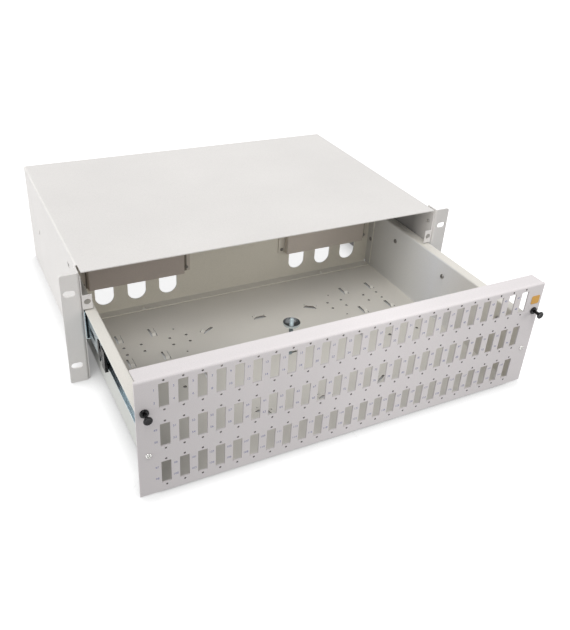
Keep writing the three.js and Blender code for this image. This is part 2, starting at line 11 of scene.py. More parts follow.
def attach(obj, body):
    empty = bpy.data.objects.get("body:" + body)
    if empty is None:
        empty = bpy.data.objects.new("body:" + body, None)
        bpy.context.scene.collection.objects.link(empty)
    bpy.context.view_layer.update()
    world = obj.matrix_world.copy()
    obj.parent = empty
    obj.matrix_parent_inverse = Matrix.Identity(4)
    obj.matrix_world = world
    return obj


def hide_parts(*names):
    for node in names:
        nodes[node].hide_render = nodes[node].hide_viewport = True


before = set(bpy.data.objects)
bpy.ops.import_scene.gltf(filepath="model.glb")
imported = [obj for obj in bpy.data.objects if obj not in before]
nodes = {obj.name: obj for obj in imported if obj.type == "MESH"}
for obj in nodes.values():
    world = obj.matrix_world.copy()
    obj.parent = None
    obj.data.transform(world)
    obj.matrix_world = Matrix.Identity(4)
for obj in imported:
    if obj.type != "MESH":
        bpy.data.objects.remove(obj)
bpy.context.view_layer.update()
SIDES = (("left", -1), ("right", 1))
TO_FRAME = Matrix.Scale(0.001, 4) @ Matrix.Translation((0, -240, 0))

# ------------------------------------------------------------------ camera and light
scene = bpy.context.scene
camera_data = bpy.data.cameras.new("camera")
camera = bpy.data.objects.new("camera", camera_data)
scene.collection.objects.link(camera)
scene.camera = camera
camera_data.sensor_width = 36.0
camera_data.lens = 723.33 / 630 * 36.0
camera_data.shift_x = -(287.80 - 285) / 630
camera_data.shift_y = (298.55 - 315) / 630
camera_data.clip_start = 0.05
camera_data.clip_end = 1000
right = Vector((0.8890, -0.4541, 0.0594)).normalized()
down = Vector((-0.1913, -0.4862, -0.8527)).normalized()
back = -right.cross(down).normalized()
up = back.cross(right).normalized()
camera.matrix_world = Matrix(
    (
        (right.x, up.x, back.x, -0.34070),
        (right.y, up.y, back.y, -0.69558),
        (right.z, up.z, back.z, 0.49675),
        (0, 0, 0, 1),
    )
)


def area_light(name, place, target, size, power, colour=(1, 1, 1)):
    data = bpy.data.lights.new(name, "AREA")
    data.shape = "RECTANGLE"
    data.size, data.size_y = size
    data.energy = power
    data.color = colour
    o = bpy.data.objects.new(name, data)
    scene.collection.objects.link(o)
    o.location = place
    o.visible_camera = False
    o.rotation_mode = "QUATERNION"
    o.rotation_quaternion = (Vector(target) - Vector(place)).to_track_quat("-Z", "Y")
    return o


def sun(name, direction, strength, angle, colour=(1, 1, 1)):
    data = bpy.data.lights.new(name, "SUN")
    data.energy = strength
    data.angle = math.radians(angle)
    data.color = colour
    o = bpy.data.objects.new(name, data)
    scene.collection.objects.link(o)
    o.location = direction
    o.rotation_mode = "QUATERNION"
    o.rotation_quaternion = (-Vector(direction)).to_track_quat("-Z", "Y")
    return o


sun("front_top_softbox", (-0.32, -0.42, 0.85), 1.1, 42, (1.0, 0.992, 0.98))
area_light("left_panel", (-1.5, 0.05, 0.14), (0, 0.05, 0.06), (1.7, 0.32), 9.0, (0.99, 0.99, 1.0))
area_light("right_front_panel", (0.95, -1.05, 0.5), (0.1, -0.25, 0.07), (0.5, 0.4), 2.6, (1.0, 0.985, 0.97))

# an even room: bright above, half as bright below
world = bpy.data.worlds.new("studio")
scene.world = world
world.use_nodes = True
sky = world.node_tree
sky.nodes["Background"].inputs["Color"].default_value = (0.975, 0.985, 1.0, 1)
direction = sky.nodes.new("ShaderNodeTexCoord")
height = sky.nodes.new("ShaderNodeSeparateXYZ")
level = sky.nodes.new("ShaderNodeMapRange")
for name, value in (("From Min", -0.15), ("From Max", 1.0), ("To Min", 0.33), ("To Max", 1.0)):
    level.inputs[name].default_value = value
sky.links.new(direction.outputs["Generated"], height.inputs[0])
sky.links.new(height.outputs["Z"], level.inputs["Value"])
sky.links.new(level.outputs[0], sky.nodes["Background"].inputs["Strength"])
paper = sky.nodes.new("ShaderNodeBackground")
paper.inputs["Color"].default_value = (1, 1, 1, 1)
paper.inputs["Strength"].default_value = 1.02
seen = sky.nodes.new("ShaderNodeLightPath")
choice = sky.nodes.new("ShaderNodeMixShader")
sky.links.new(seen.outputs["Is Camera Ray"], choice.inputs[0])
sky.links.new(sky.nodes["Background"].outputs[0], choice.inputs[1])
sky.links.new(paper.outputs[0], choice.inputs[2])
sky.links.new(choice.outputs[0], sky.nodes["World Output"].inputs["Surface"])
scene.view_settings.view_transform = "Standard"


# ------------------------------------------------------------------ materials
def new_material(name):
    m = bpy.data.materials.new(name)
    m.use_nodes = True
    tree = m.node_tree
    shader = tree.nodes["Principled BSDF"]
    return m, tree, shader


def link(tree, a, a_name, b, b_name):
    tree.links.new(a.outputs[a_name], b.inputs[b_name])


def node(tree, kind, **values):
    n = tree.nodes.new(kind)
    for key, value in values.items():
        if hasattr(n, key):
            setattr(n, key, value)
        else:
            n.inputs[key.replace("_", " ")].default_value = value
    return n


def ramp(tree, source, output, stops):
    r = tree.nodes.new("ShaderNodeValToRGB")
    while len(r.color_ramp.elements) < len(stops):
        r.color_ramp.elements.new(0.5)
    for e, (at, colour) in zip(r.color_ramp.elements, stops):
        e.position = at
        e.color = (*colour, 1) if len(colour) == 3 else colour
    tree.links.new(source.outputs[output], r.inputs["Fac"])
    return r


def powder_coat(name, colour, rough=0.5, grain=1.0, edge_highlight_gain=1.0, rim=0.00045):
    """Fine-texture powder coat: orange-peel bump, a speckle of lighter and darker grains, soft handling marks and a
    painted highlight along the edges.
    """
    m, tree, shader = new_material(name)
    where = node(tree, "ShaderNodeTexCoord")
    tone = node(tree, "ShaderNodeTexNoise", Scale=5.0, Detail=3.0, Roughness=0.55)
    link(tree, where, "Object", tone, "Vector")
    low = tuple(c * 0.965 for c in colour)
    high = tuple(min(1.0, c * 1.02) for c in colour)
    base = ramp(tree, tone, "Fac", [(0.36, low), (0.66, high)])
    speck = node(tree, "ShaderNodeTexNoise", Scale=1500.0, Detail=1.0, Roughness=0.5)
    link(tree, where, "Object", speck, "Vector")
    specks = ramp(tree, speck, "Fac", [(0.34, (0.9, 0.9, 0.9)), (0.5, (1, 1, 1)), (0.7, (1.05, 1.05, 1.05))])
    mix = node(tree, "ShaderNodeMix", data_type="RGBA", blend_type="MULTIPLY")
    mix.inputs["Factor"].default_value = 0.55
    tree.links.new(base.outputs["Color"], mix.inputs[6])
    tree.links.new(specks.outputs["Color"], mix.inputs[7])
    # painted highlight along the edges, broken up by noise
    bevel = node(tree, "ShaderNodeBevel", samples=4)
    bevel.inputs["Radius"].default_value = rim
    flat = node(tree, "ShaderNodeNewGeometry")
    dot = node(tree, "ShaderNodeVectorMath", operation="DOT_PRODUCT")
    tree.links.new(bevel.outputs["Normal"], dot.inputs[0])
    tree.links.new(flat.outputs["Normal"], dot.inputs[1])
    edge = ramp(tree, dot, "Value", [(0.86, (1, 1, 1)), (0.985, (0, 0, 0))])
    edge_highlight = node(tree, "ShaderNodeMix", data_type="RGBA", blend_type="MIX")
    highlight_noise = node(tree, "ShaderNodeTexNoise", Scale=90.0, Detail=4.0, Roughness=0.6)
    link(tree, where, "Object", highlight_noise, "Vector")
    highlight_breakup = ramp(tree, highlight_noise, "Fac", [(0.36, (0.45 * edge_highlight_gain,) * 3), (0.6, (0.75 * edge_highlight_gain,) * 3)])
    product = node(tree, "ShaderNodeMath", operation="MULTIPLY")
    tree.links.new(edge.outputs["Color"], product.inputs[0])
    tree.links.new(highlight_breakup.outputs["Color"], product.inputs[1])
    tree.links.new(product.outputs[0], edge_highlight.inputs[0])
    tree.links.new(mix.outputs[2], edge_highlight.inputs[6])
    edge_highlight.inputs[7].default_value = (*[min(0.92, c * 1.2 + 0.09) for c in colour], 1)
    tree.links.new(edge_highlight.outputs[2], shader.inputs["Base Color"])
    marks = node(tree, "ShaderNodeTexNoise", Scale=16.0, Detail=6.0, Roughness=0.7)
    link(tree, where, "Object", marks, "Vector")
    roughs = ramp(tree, marks, "Fac", [(0.3, (rough - 0.07,) * 3), (0.7, (rough + 0.07,) * 3)])
    tree.links.new(roughs.outputs["Color"], shader.inputs["Roughness"])
    peel = node(tree, "ShaderNodeTexNoise", Scale=900.0, Detail=2.0, Roughness=0.5)
    link(tree, where, "Object", peel, "Vector")
    bump = node(tree, "ShaderNodeBump", Strength=0.16 * grain)
    bump.inputs["Distance"].default_value = 0.00012
    link(tree, peel, "Fac", bump, "Height")
    tree.links.new(bump.outputs["Normal"], shader.inputs["Normal"])
    shader.inputs["Metallic"].default_value = 0.0
    shader.inputs["IOR"].default_value = 1.47
    shader.inputs["Specular IOR Level"].default_value = 0.35
    return m


def plated(name, dark, light, rough=0.28, along=(60.0, 4.0, 60.0), tint=None, bumpy=0.05):
    """Zinc- or nickel-plated steel: drawn streaks along the piece, cloudy plating colour and fine scratches."""
    m, tree, shader = new_material(name)
    where = node(tree, "ShaderNodeTexCoord")
    stretch = node(tree, "ShaderNodeMapping")
    stretch.inputs["Scale"].default_value = along
    link(tree, where, "Object", stretch, "Vector")
    streak = node(tree, "ShaderNodeTexNoise", Scale=14.0, Detail=5.0, Roughness=0.6)
    link(tree, stretch, "Vector", streak, "Vector")
    base = ramp(tree, streak, "Fac", [(0.3, dark), (0.68, light)])
    cloud = node(tree, "ShaderNodeTexNoise", Scale=34.0, Detail=3.0, Roughness=0.5)
    link(tree, where, "Object", cloud, "Vector")
    clouds = ramp(tree, cloud, "Fac", [(0.4, (1, 1, 1)), (0.7, tint or (0.97, 0.985, 1.0))])
    mix = node(tree, "ShaderNodeMix", data_type="RGBA", blend_type="MULTIPLY")
    mix.inputs["Factor"].default_value = 1.0
    tree.links.new(base.outputs["Color"], mix.inputs[6])
    tree.links.new(clouds.outputs["Color"], mix.inputs[7])
    tree.links.new(mix.outputs[2], shader.inputs["Base Color"])
    roughs = ramp(tree, streak, "Fac", [(0.3, (rough + 0.08,) * 3), (0.7, (rough - 0.05,) * 3)])
    tree.links.new(roughs.outputs["Color"], shader.inputs["Roughness"])
    bump = node(tree, "ShaderNodeBump", Strength=bumpy)
    bump.inputs["Distance"].default_value = 0.0001
    link(tree, streak, "Fac", bump, "Height")
    tree.links.new(bump.outputs["Normal"], shader.inputs["Normal"])
    shader.inputs["Metallic"].default_value = 0.92
    return m


def moulded(name, colour, rough=0.36, fleck=1.35, shine=0.4):
    """Moulded plastic: fine spark-eroded grain, faint flow marks and slightly polished high spots."""
    m, tree, shader = new_material(name)
    where = node(tree, "ShaderNodeTexCoord")
    flow = node(tree, "ShaderNodeTexNoise", Scale=120.0, Detail=4.0, Roughness=0.6)
    link(tree, where, "Object", flow, "Vector")
    base = ramp(tree, flow, "Fac", [(0.35, colour), (0.75, tuple(min(1, c * fleck) for c in colour))])
    tree.links.new(base.outputs["Color"], shader.inputs["Base Color"])
    roughs = ramp(tree, flow, "Fac", [(0.3, (rough - 0.06,) * 3), (0.7, (rough + 0.1,) * 3)])
    tree.links.new(roughs.outputs["Color"], shader.inputs["Roughness"])
    grain = node(tree, "ShaderNodeTexNoise", Scale=2600.0, Detail=1.0)
    link(tree, where, "Object", grain, "Vector")
    bump = node(tree, "ShaderNodeBump", Strength=0.12)
    bump.inputs["Distance"].default_value = 0.00006
    link(tree, grain, "Fac", bump, "Height")
    tree.links.new(bump.outputs["Normal"], shader.inputs["Normal"])
    shader.inputs["Specular IOR Level"].default_value = shine
    return m


def cover_paint(name):
    """The covers' hat in grey-brown; their feet in the wall's colour, with painted shade in a dark line beside the hat.
    """
    m = powder_coat(name, (0.560, 0.520, 0.485), 0.55)
    tree = m.node_tree
    shader = tree.nodes["Principled BSDF"]
    plain = shader.inputs["Base Color"].links[0].from_socket
    where = node(tree, "ShaderNodeTexCoord")
    place = node(tree, "ShaderNodeSeparateXYZ")
    tree.links.new(where.outputs["Object"], place.inputs[0])
    across = node(tree, "ShaderNodeMath", operation="ABSOLUTE")
    tree.links.new(place.outputs["X"], across.inputs[0])
    middle = node(tree, "ShaderNodeMath", operation="SUBTRACT")
    tree.links.new(across.outputs[0], middle.inputs[0])
    middle.inputs[1].default_value = 0.13175
    out = node(tree, "ShaderNodeMath", operation="ABSOLUTE")
    tree.links.new(middle.outputs[0], out.inputs[0])
    # which end of the hat this is: +1 for the right-hand end of either cover
    side = calc(tree, "SIGN", place.outputs["X"])
    end = between(tree, calc(tree, "MULTIPLY", side, middle.outputs[0]), -0.001, 0.001)
    foot = ramp(tree, node_map(tree, out, 0, 0.0595, 0.0605), 0, [(0.0, (0, 0, 0)), (1.0, (1, 1, 1))])
    # painted shade: a dark line on each foot beside the hat, wider at the right-hand ends, fainter at the right cover's
    # left end
    narrow = ramp(tree, node_map(tree, out, 0, 0.0598, 0.0622), 0, [(0.0, (1, 1, 1)), (0.15, (0.3, 0.29, 0.27)), (0.6, (0.36, 0.35, 0.33)), (0.95, (1, 1, 1))])
    wide = ramp(tree, node_map(tree, out, 0, 0.0598, 0.0662), 0, [(0.0, (1, 1, 1)), (0.06, (0.3, 0.29, 0.27)), (0.72, (0.36, 0.35, 0.33)), (0.86, (1, 1, 1))])
    faint = node(tree, "ShaderNodeMix", data_type="RGBA", blend_type="MIX")
    tree.links.new(calc(tree, "MULTIPLY", between(tree, place.outputs["X"], -0.001, 0.001), 0.7), faint.inputs[0])
    tree.links.new(narrow.outputs["Color"], faint.inputs[6])
    faint.inputs[7].default_value = (1, 1, 1, 1)
    joint_shade = node(tree, "ShaderNodeMix", data_type="RGBA", blend_type="MIX")
    tree.links.new(end, joint_shade.inputs[0])
    tree.links.new(faint.outputs[2], joint_shade.inputs[6])
    tree.links.new(wide.outputs["Color"], joint_shade.inputs[7])
    mix = node(tree, "ShaderNodeMix", data_type="RGBA", blend_type="MIX")
    tree.links.new(foot.outputs["Color"], mix.inputs[0])
    tree.links.new(plain, mix.inputs[6])
    mix.inputs[7].default_value = (0.640, 0.620, 0.568, 1)
    dark = node(tree, "ShaderNodeMix", data_type="RGBA", blend_type="MULTIPLY")
    dark.inputs["Factor"].default_value = 1.0
    tree.links.new(mix.outputs[2], dark.inputs[6])
    tree.links.new(joint_shade.outputs[2], dark.inputs[7])
    tree.links.new(dark.outputs[2], shader.inputs["Base Color"])
    return m


def shaded(m, factor):
    """Multiplies a paint's colour by the greyscale that factor(tree, place, facing) builds from object position and surface direction."""
    tree = m.node_tree
    shader = tree.nodes["Principled BSDF"]
    plain = shader.inputs["Base Color"].links[0].from_socket
    where = node(tree, "ShaderNodeTexCoord")
    place = node(tree, "ShaderNodeSeparateXYZ")
    facing = node(tree, "ShaderNodeSeparateXYZ")
    tree.links.new(where.outputs["Object"], place.inputs[0])
    tree.links.new(where.outputs["Normal"], facing.inputs[0])
    dark = node(tree, "ShaderNodeMix", data_type="RGBA", blend_type="MULTIPLY")
    dark.inputs["Factor"].default_value = 1.0
    tree.links.new(plain, dark.inputs[6])
    tree.links.new(factor(tree, place, facing), dark.inputs[7])
    tree.links.new(dark.outputs[2], shader.inputs["Base Color"])
    return m


def calc(tree, operation, *values):
    n = node(tree, "ShaderNodeMath", operation=operation)
    for i, value in enumerate(values):
        if isinstance(value, (int, float)):
            n.inputs[i].default_value = value
        else:
            tree.links.new(value, n.inputs[i])
    return n.outputs[0]


def between(tree, value, low, high):
    """0 below low, 1 above high (or the other way round), in between by straight line."""
    n = node(tree, "ShaderNodeMapRange")
    n.inputs["From Min"].default_value = low
    n.inputs["From Max"].default_value = high
    tree.links.new(value, n.inputs["Value"])
    return n.outputs[0]


def cut_edges(tree, place, facing):
    """Soft shade fixed to the panel: darker walls in its small cutouts and holes, and a gentle fall-off towards both ends and the foot."""
    side = between(tree, calc(tree, "ABSOLUTE", facing.outputs["Y"]), 0.75, 0.45)
    inner = between(tree, calc(tree, "ABSOLUTE", place.outputs["X"]), 0.2105, 0.2095)
    low = between(tree, place.outputs["Z"], 0.1288, 0.1282)
    high = between(tree, place.outputs["Z"], 0.0050, 0.0056)
    mask = calc(tree, "MULTIPLY", calc(tree, "MULTIPLY", side, inner), calc(tree, "MULTIPLY", low, high))
    # the fixing holes, between the rows of cutouts, are darker still
    row = calc(tree, "ABSOLUTE", calc(tree, "SUBTRACT", calc(tree, "MODULO", calc(tree, "ADD", place.outputs["Z"], 0.0403), 0.0433), 0.02165))
    hole = between(tree, row, 0.0130, 0.0136)
    edges = calc(tree, "SUBTRACT", 1.0, calc(tree, "MULTIPLY", mask, calc(tree, "ADD", 0.3, calc(tree, "MULTIPLY", hole, 0.45))))
    # the face falls off towards its ends and foot
    left = calc(tree, "MULTIPLY", between(tree, place.outputs["X"], 0.0, -0.22), 0.17)
    foot = calc(tree, "MULTIPLY", between(tree, place.outputs["Z"], 0.13, 0.0), 0.05)
    right = calc(tree, "MULTIPLY", between(tree, place.outputs["X"], 0.03, 0.22), 0.115)
    return calc(tree, "MULTIPLY", edges, calc(tree, "SUBTRACT", 1.0, calc(tree, "ADD", calc(tree, "ADD", left, foot), right)))


def tray_shade(tree, place, facing):
    """Soft shade fixed to the tray: deepest in the floor's front left corner behind the panel, with tints on single walls. It is light painted into the colour, not wear."""
    across = calc(tree, "SUBTRACT", place.outputs["X"], calc(tree, "MULTIPLY", calc(tree, "ADD", place.outputs["Y"], 0.24), 0.45))
    n = node(tree, "ShaderNodeMapRange")
    n.inputs["From Min"].default_value = -0.2
    n.inputs["From Max"].default_value = -0.04
    tree.links.new(across, n.inputs["Value"])
    corner = ramp(tree, n, 0, [(0.0, (0.50, 0.50, 0.50)), (0.28, (0.68, 0.68, 0.68)), (0.5, (0.81, 0.81, 0.81)), (0.75, (0.83, 0.83, 0.83)), (1.0, (0.84, 0.84, 0.84))])
    mask = calc(tree, "MULTIPLY", between(tree, place.outputs["Z"], 0.014, 0.009), between(tree, place.outputs["Y"], -0.01, -0.08))
    mix = node(tree, "ShaderNodeMix", data_type="RGBA", blend_type="MIX")
    tree.links.new(mask, mix.inputs[0])
    mix.inputs[6].default_value = (1, 1, 1, 1)
    tree.links.new(corner.outputs["Color"], mix.inputs[7])
    # the inner face of the right-hand wall: colder light, falling off towards the back
    wall = calc(tree, "MULTIPLY", between(tree, facing.outputs["X"], -0.6, -0.9), between(tree, place.outputs["X"], 0.15, 0.18))
    along = node(tree, "ShaderNodeMapRange")
    along.inputs["From Min"].default_value = -0.2
    along.inputs["From Max"].default_value = 0.2
    tree.links.new(place.outputs["Y"], along.inputs["Value"])
    cold = ramp(tree, along, 0, [(0.0, (0.80, 0.79, 0.76)), (0.16, (0.95, 0.96, 1.0)), (0.29, (1.07, 1.12, 1.24)), (0.4, (1.06, 1.10, 1.17)), (0.72, (0.80, 0.81, 0.82)), (1.0, (0.55, 0.55, 0.55))])
    both_sides = node(tree, "ShaderNodeMix", data_type="RGBA", blend_type="MIX")
    tree.links.new(wall, both_sides.inputs[0])
    tree.links.new(mix.outputs[2], both_sides.inputs[6])
    tree.links.new(cold.outputs["Color"], both_sides.inputs[7])
    # the outer face of the left-hand wall, and the front face of the rear panel
    outer = calc(tree, "MULTIPLY", between(tree, facing.outputs["X"], -0.6, -0.9), between(tree, place.outputs["X"], -0.15, -0.18))
    third = node(tree, "ShaderNodeMix", data_type="RGBA", blend_type="MIX")
    tree.links.new(outer, third.inputs[0])
    tree.links.new(both_sides.outputs[2], third.inputs[6])
    third.inputs[7].default_value = (0.80, 0.84, 0.86, 1)
    back = calc(tree, "MULTIPLY", between(tree, facing.outputs["Y"], -0.6, -0.9), between(tree, place.outputs["Y"], 0.02, 0.03))
    fourth = node(tree, "ShaderNodeMix", data_type="RGBA", blend_type="MIX")
    tree.links.new(back, fourth.inputs[0])
    tree.links.new(third.outputs[2], fourth.inputs[6])
    fourth.inputs[7].default_value = (1.06, 1.05, 0.99, 1)
    # painted shade on the pierced walls of the floor's holes and bridge openings
    pierced = between(tree, calc(tree, "ABSOLUTE", facing.outputs["Z"]), 0.7, 0.4)
    pierced = calc(tree, "MULTIPLY", pierced, between(tree, calc(tree, "ABSOLUTE", place.outputs["X"]), 0.2035, 0.2025))
    pierced = calc(tree, "MULTIPLY", pierced, calc(tree, "MULTIPLY", between(tree, place.outputs["Y"], 0.0505, 0.0495), between(tree, place.outputs["Y"], -0.234, -0.233)))
    pierced = calc(tree, "MULTIPLY", pierced, between(tree, place.outputs["Z"], 0.0085, 0.0078))
    fifth = node(tree, "ShaderNodeMix", data_type="RGBA", blend_type="MIX")
    tree.links.new(pierced, fifth.inputs[0])
    tree.links.new(fourth.outputs[2], fifth.inputs[6])
    fifth.inputs[7].default_value = (0.26, 0.24, 0.22, 1)
    return fifth.outputs[2]


def inside_shade(tree, place, facing):
    """Soft shade fixed to the housing's inside, away from its two open ends, and a little on the right-hand ear."""
    inner = between(tree, calc(tree, "ABSOLUTE", place.outputs["X"]), 0.2204, 0.2202)
    below = between(tree, place.outputs["Z"], 0.1314, 0.1312)
    front = between(tree, place.outputs["Y"], -0.047, -0.012)
    back = between(tree, place.outputs["Y"], 0.250, 0.200)
    mask = calc(tree, "MULTIPLY", calc(tree, "MULTIPLY", inner, below), calc(tree, "MULTIPLY", front, back))
    ear = calc(tree, "MULTIPLY", between(tree, place.outputs["X"], 0.2225, 0.2245), 0.12)
    return calc(tree, "SUBTRACT", 1.0, calc(tree, "ADD", calc(tree, "MULTIPLY", mask, 0.62), ear))


def below_nut(tree, place, facing):
    """Soft shade fixed to the shank below the nut."""
    return calc(tree, "SUBTRACT", 1.0, calc(tree, "MULTIPLY", between(tree, place.outputs["Z"], 0.0435, 0.0415), 0.6))


def cover_shade(tree, place, facing):
    """The left cover a little darker than the right, as the light falls on them."""
    mix = node(tree, "ShaderNodeMix", data_type="RGBA", blend_type="MIX")
    tree.links.new(between(tree, place.outputs["X"], -0.001, 0.001), mix.inputs[0])
    mix.inputs[6].default_value = (0.95, 0.90, 0.87, 1)
    mix.inputs[7].default_value = (1.13, 1.10, 1.05, 1)
    return mix.outputs[2]


def bright_zinc(name):
    """Bright blue-white zinc on turned pieces: a clear rim and shank, with a painted dark reflection of the room in the
    bowl of the nut and on the flat of its rim.
    """
    m = plated(name, (0.62, 0.68, 0.70), (0.80, 0.86, 0.88), 0.2, (6, 6, 6), (0.92, 0.98, 1.0), 0.0)
    tree = m.node_tree
    shader = tree.nodes["Principled BSDF"]
    plain = shader.inputs["Base Color"].links[0].from_socket
    geometry = node(tree, "ShaderNodeNewGeometry")
    where = node(tree, "ShaderNodeSeparateXYZ")
    facing = node(tree, "ShaderNodeSeparateXYZ")
    tree.links.new(geometry.outputs["Position"], where.inputs[0])
    tree.links.new(geometry.outputs["Normal"], facing.inputs[0])
    # painted dark reflection on the faces turned up: the bowl and the flat of the rim
    low = ramp(tree, node_map(tree, where, "Z", 0.0484, 0.0490), 0, [(0.0, (1, 1, 1)), (1.0, (0, 0, 0))])
    upward = ramp(tree, facing, "Z", [(0.2, (0, 0, 0)), (0.45, (1, 1, 1))])
    both_masks = node(tree, "ShaderNodeMath", operation="MULTIPLY")
    tree.links.new(low.outputs["Color"], both_masks.inputs[0])
    tree.links.new(upward.outputs["Color"], both_masks.inputs[1])
    mix = node(tree, "ShaderNodeMix", data_type="RGBA", blend_type="MIX")
    tree.links.new(both_masks.outputs[0], mix.inputs[0])
    tree.links.new(plain, mix.inputs[6])
    mix.inputs[7].default_value = (0.23, 0.24, 0.245, 1)
    tree.links.new(mix.outputs[2], shader.inputs["Base Color"])
    return m


def node_map(tree, source, output, low, high):
    n = node(tree, "ShaderNodeMapRange")
    n.inputs["From Min"].default_value = low
    n.inputs["From Max"].default_value = high
    tree.links.new(source.outputs[output], n.inputs["Value"])
    return n


# the powder coats' edge setting scales the painted highlight along their edges
M = {
    "housing_paint": shaded(powder_coat("housing_powder_coat", (0.745, 0.722, 0.698)), inside_shade),
    "panel_paint": shaded(powder_coat("panel_powder_coat", (0.812, 0.768, 0.768), edge_highlight_gain=0.12, rim=0.0003), cut_edges),
    "tray_paint": shaded(powder_coat("tray_powder_coat", (0.735, 0.708, 0.652), edge_highlight_gain=1.8, rim=0.0009), tray_shade),
    "cover_paint": shaded(cover_paint("cover_powder_coat"), cover_shade),
    "slide_zinc": plated("slide_zinc_plate", (0.42, 0.48, 0.51), (0.70, 0.76, 0.79), 0.26, (60, 3, 60), (0.90, 0.98, 1.0)),
    "cage_steel": plated("cage_steel_strip", (0.38, 0.39, 0.40), (0.60, 0.60, 0.58), 0.34, (60, 3, 60)),
    "ball_steel": plated("ball_steel", (0.62, 0.63, 0.64), (0.80, 0.80, 0.80), 0.14, (20, 20, 20)),
    "screw_steel": plated("nickel_screw", (0.52, 0.51, 0.49), (0.80, 0.79, 0.76), 0.24, (60, 60, 60)),
    "dull_steel": plated("dulled_screw", (0.24, 0.23, 0.215), (0.42, 0.40, 0.375), 0.4, (60, 60, 60)),
    "stud_zinc": bright_zinc("bright_zinc"),
    "shank_zinc": shaded(plated("pale_zinc_shank", (0.56, 0.66, 0.69), (0.72, 0.82, 0.84), 0.45, (60, 60, 60)), below_nut),
    "black_nylon": moulded("black_nylon", (0.0045, 0.0045, 0.005), 0.24, 1.35, 0.3),
    "sticker_film": moulded("amber_film", (0.62, 0.33, 0.06), 0.42, 1.18),
    "port_ink": moulded("port_number_ink", (0.14, 0.15, 0.30), 0.6, 1.3),
}


M["shank_zinc"].node_tree.nodes["Principled BSDF"].inputs["Metallic"].default_value = 0.45


# ------------------------------------------------------------------ mesh helpers (millimetres)
def mesh_of(verts, faces, name="tmp"):
    me = bpy.data.meshes.new(name)
    me.from_pydata([tuple(v) for v in verts], [], faces)
    me.validate()
    return outward(me)


def outward(me):
    bm = bmesh.new()
    bm.from_mesh(me)
    bmesh.ops.recalc_face_normals(bm, faces=bm.faces)
    if bm.calc_volume(signed=True) < 0:
        bmesh.ops.reverse_faces(bm, faces=bm.faces)
    bm.to_mesh(me)
    bm.free()
    return me


def temp(me):
    o = bpy.data.objects.new("tmp", me)
    scene.collection.objects.link(o)
    return o


def drop(o):
    me = o.data
    bpy.data.objects.remove(o)
    if me.users == 0:
        bpy.data.meshes.remove(me)


def applied(o):
    me = bpy.data.meshes.new_from_object(o.evaluated_get(bpy.context.evaluated_depsgraph_get()))
    old = o.data
    o.modifiers.clear()
    o.data = me
    if old.users == 0:
        bpy.data.meshes.remove(old)
    return me


def box(x0, x1, y0, y1, z0, z1):
    x0, x1 = sorted((x0, x1))
    y0, y1 = sorted((y0, y1))
    z0, z1 = sorted((z0, z1))
    v = [(x, y, z) for x in (x0, x1) for y in (y0, y1) for z in (z0, z1)]
    f = [(0, 1, 3, 2), (4, 6, 7, 5), (0, 4, 5, 1), (2, 3, 7, 6), (0, 2, 6, 4), (1, 5, 7, 3)]
    return mesh_of(v, f)


AXES = {"z": lambda u, v, w: (u, v, w), "y": lambda u, v, w: (u, w, v), "x": lambda u, v, w: (w, u, v)}


def prism(points, axis, a, b):
    """A flat outline drawn out along an axis: "z" takes (x, y) points, "y" takes (x, z), "x" takes (y, z)."""
    put = AXES[axis]
    n = len(points)
    v = [put(p[0], p[1], a) for p in points] + [put(p[0], p[1], b) for p in points]
    f = [tuple(range(n)), tuple(range(n, 2 * n))[::-1]]
    f += [(i, (i + 1) % n, n + (i + 1) % n, n + i) for i in range(n)]
    return mesh_of(v, f)


def section(line, t, bend, steps=9):
    """The section of a bent sheet: a middle line with rounded corners, thickened to both sides."""
    left, rgt = [], []

    def push(x, y, nx, ny):
        left.append((x + nx * t / 2, y + ny * t / 2))
        rgt.append((x - nx * t / 2, y - ny * t / 2))

    def unit(a, b):
        d = math.hypot(b[0] - a[0], b[1] - a[1])
        return (b[0] - a[0]) / d, (b[1] - a[1]) / d

    d = unit(line[0], line[1])
    push(*line[0], -d[1], d[0])
    for i in range(1, len(line) - 1):
        a, b = unit(line[i - 1], line[i]), unit(line[i], line[i + 1])
        side = 1 if a[0] * b[1] - a[1] * b[0] > 0 else -1
        angle = math.acos(max(-1, min(1, a[0] * b[0] + a[1] * b[1])))
        reach = bend * math.tan(angle / 2)
        cx = line[i][0] - a[0] * reach - a[1] * side * bend
        cy = line[i][1] - a[1] * reach + a[0] * side * bend
        for k in range(steps + 1):
            q = side * angle * k / steps
            dx = a[0] * math.cos(q) - a[1] * math.sin(q)
            dy = a[0] * math.sin(q) + a[1] * math.cos(q)
            push(cx + dy * side * bend, cy - dx * side * bend, -dy, dx)
    d = unit(line[-2], line[-1])
    push(*line[-1], -d[1], d[0])
    return left + rgt[::-1]


def rod(axis, a, b, u, v, r, sides=28, r_end=None):
    r_end = r if r_end is None else r_end
    put = AXES[axis]
    ring = lambda w, q: [
        put(u + q * math.cos(2 * math.pi * i / sides), v + q * math.sin(2 * math.pi * i / sides), w) for i in range(sides)
    ]
    f = [tuple(range(sides)), tuple(range(sides, 2 * sides))[::-1]]
    f += [(i, (i + 1) % sides, sides + (i + 1) % sides, sides + i) for i in range(sides)]
    return mesh_of(ring(a, r) + ring(b, r_end), f)


def obround(u, v, length, width, steps=14):
    r = width / 2
    half = length / 2 - r
    out = []
    for sign, start in ((1, -math.pi / 2), (-1, math.pi / 2)):
        for k in range(steps + 1):
            q = start + math.pi * k / steps
            out.append((u + sign * half + r * math.cos(q), v + r * math.sin(q)))
    return out


def rounded_rect(u, v, w, h, r, steps=4):
    out = []
    for cx, cy, start in ((w / 2 - r, h / 2 - r, 0), (-w / 2 + r, h / 2 - r, 90), (-w / 2 + r, -h / 2 + r, 180), (w / 2 - r, -h / 2 + r, 270)):
        for k in range(steps + 1):
            q = math.radians(start + 90 * k / steps)
            out.append((u + cx + r * math.cos(q), v + cy + r * math.sin(q)))
    return out


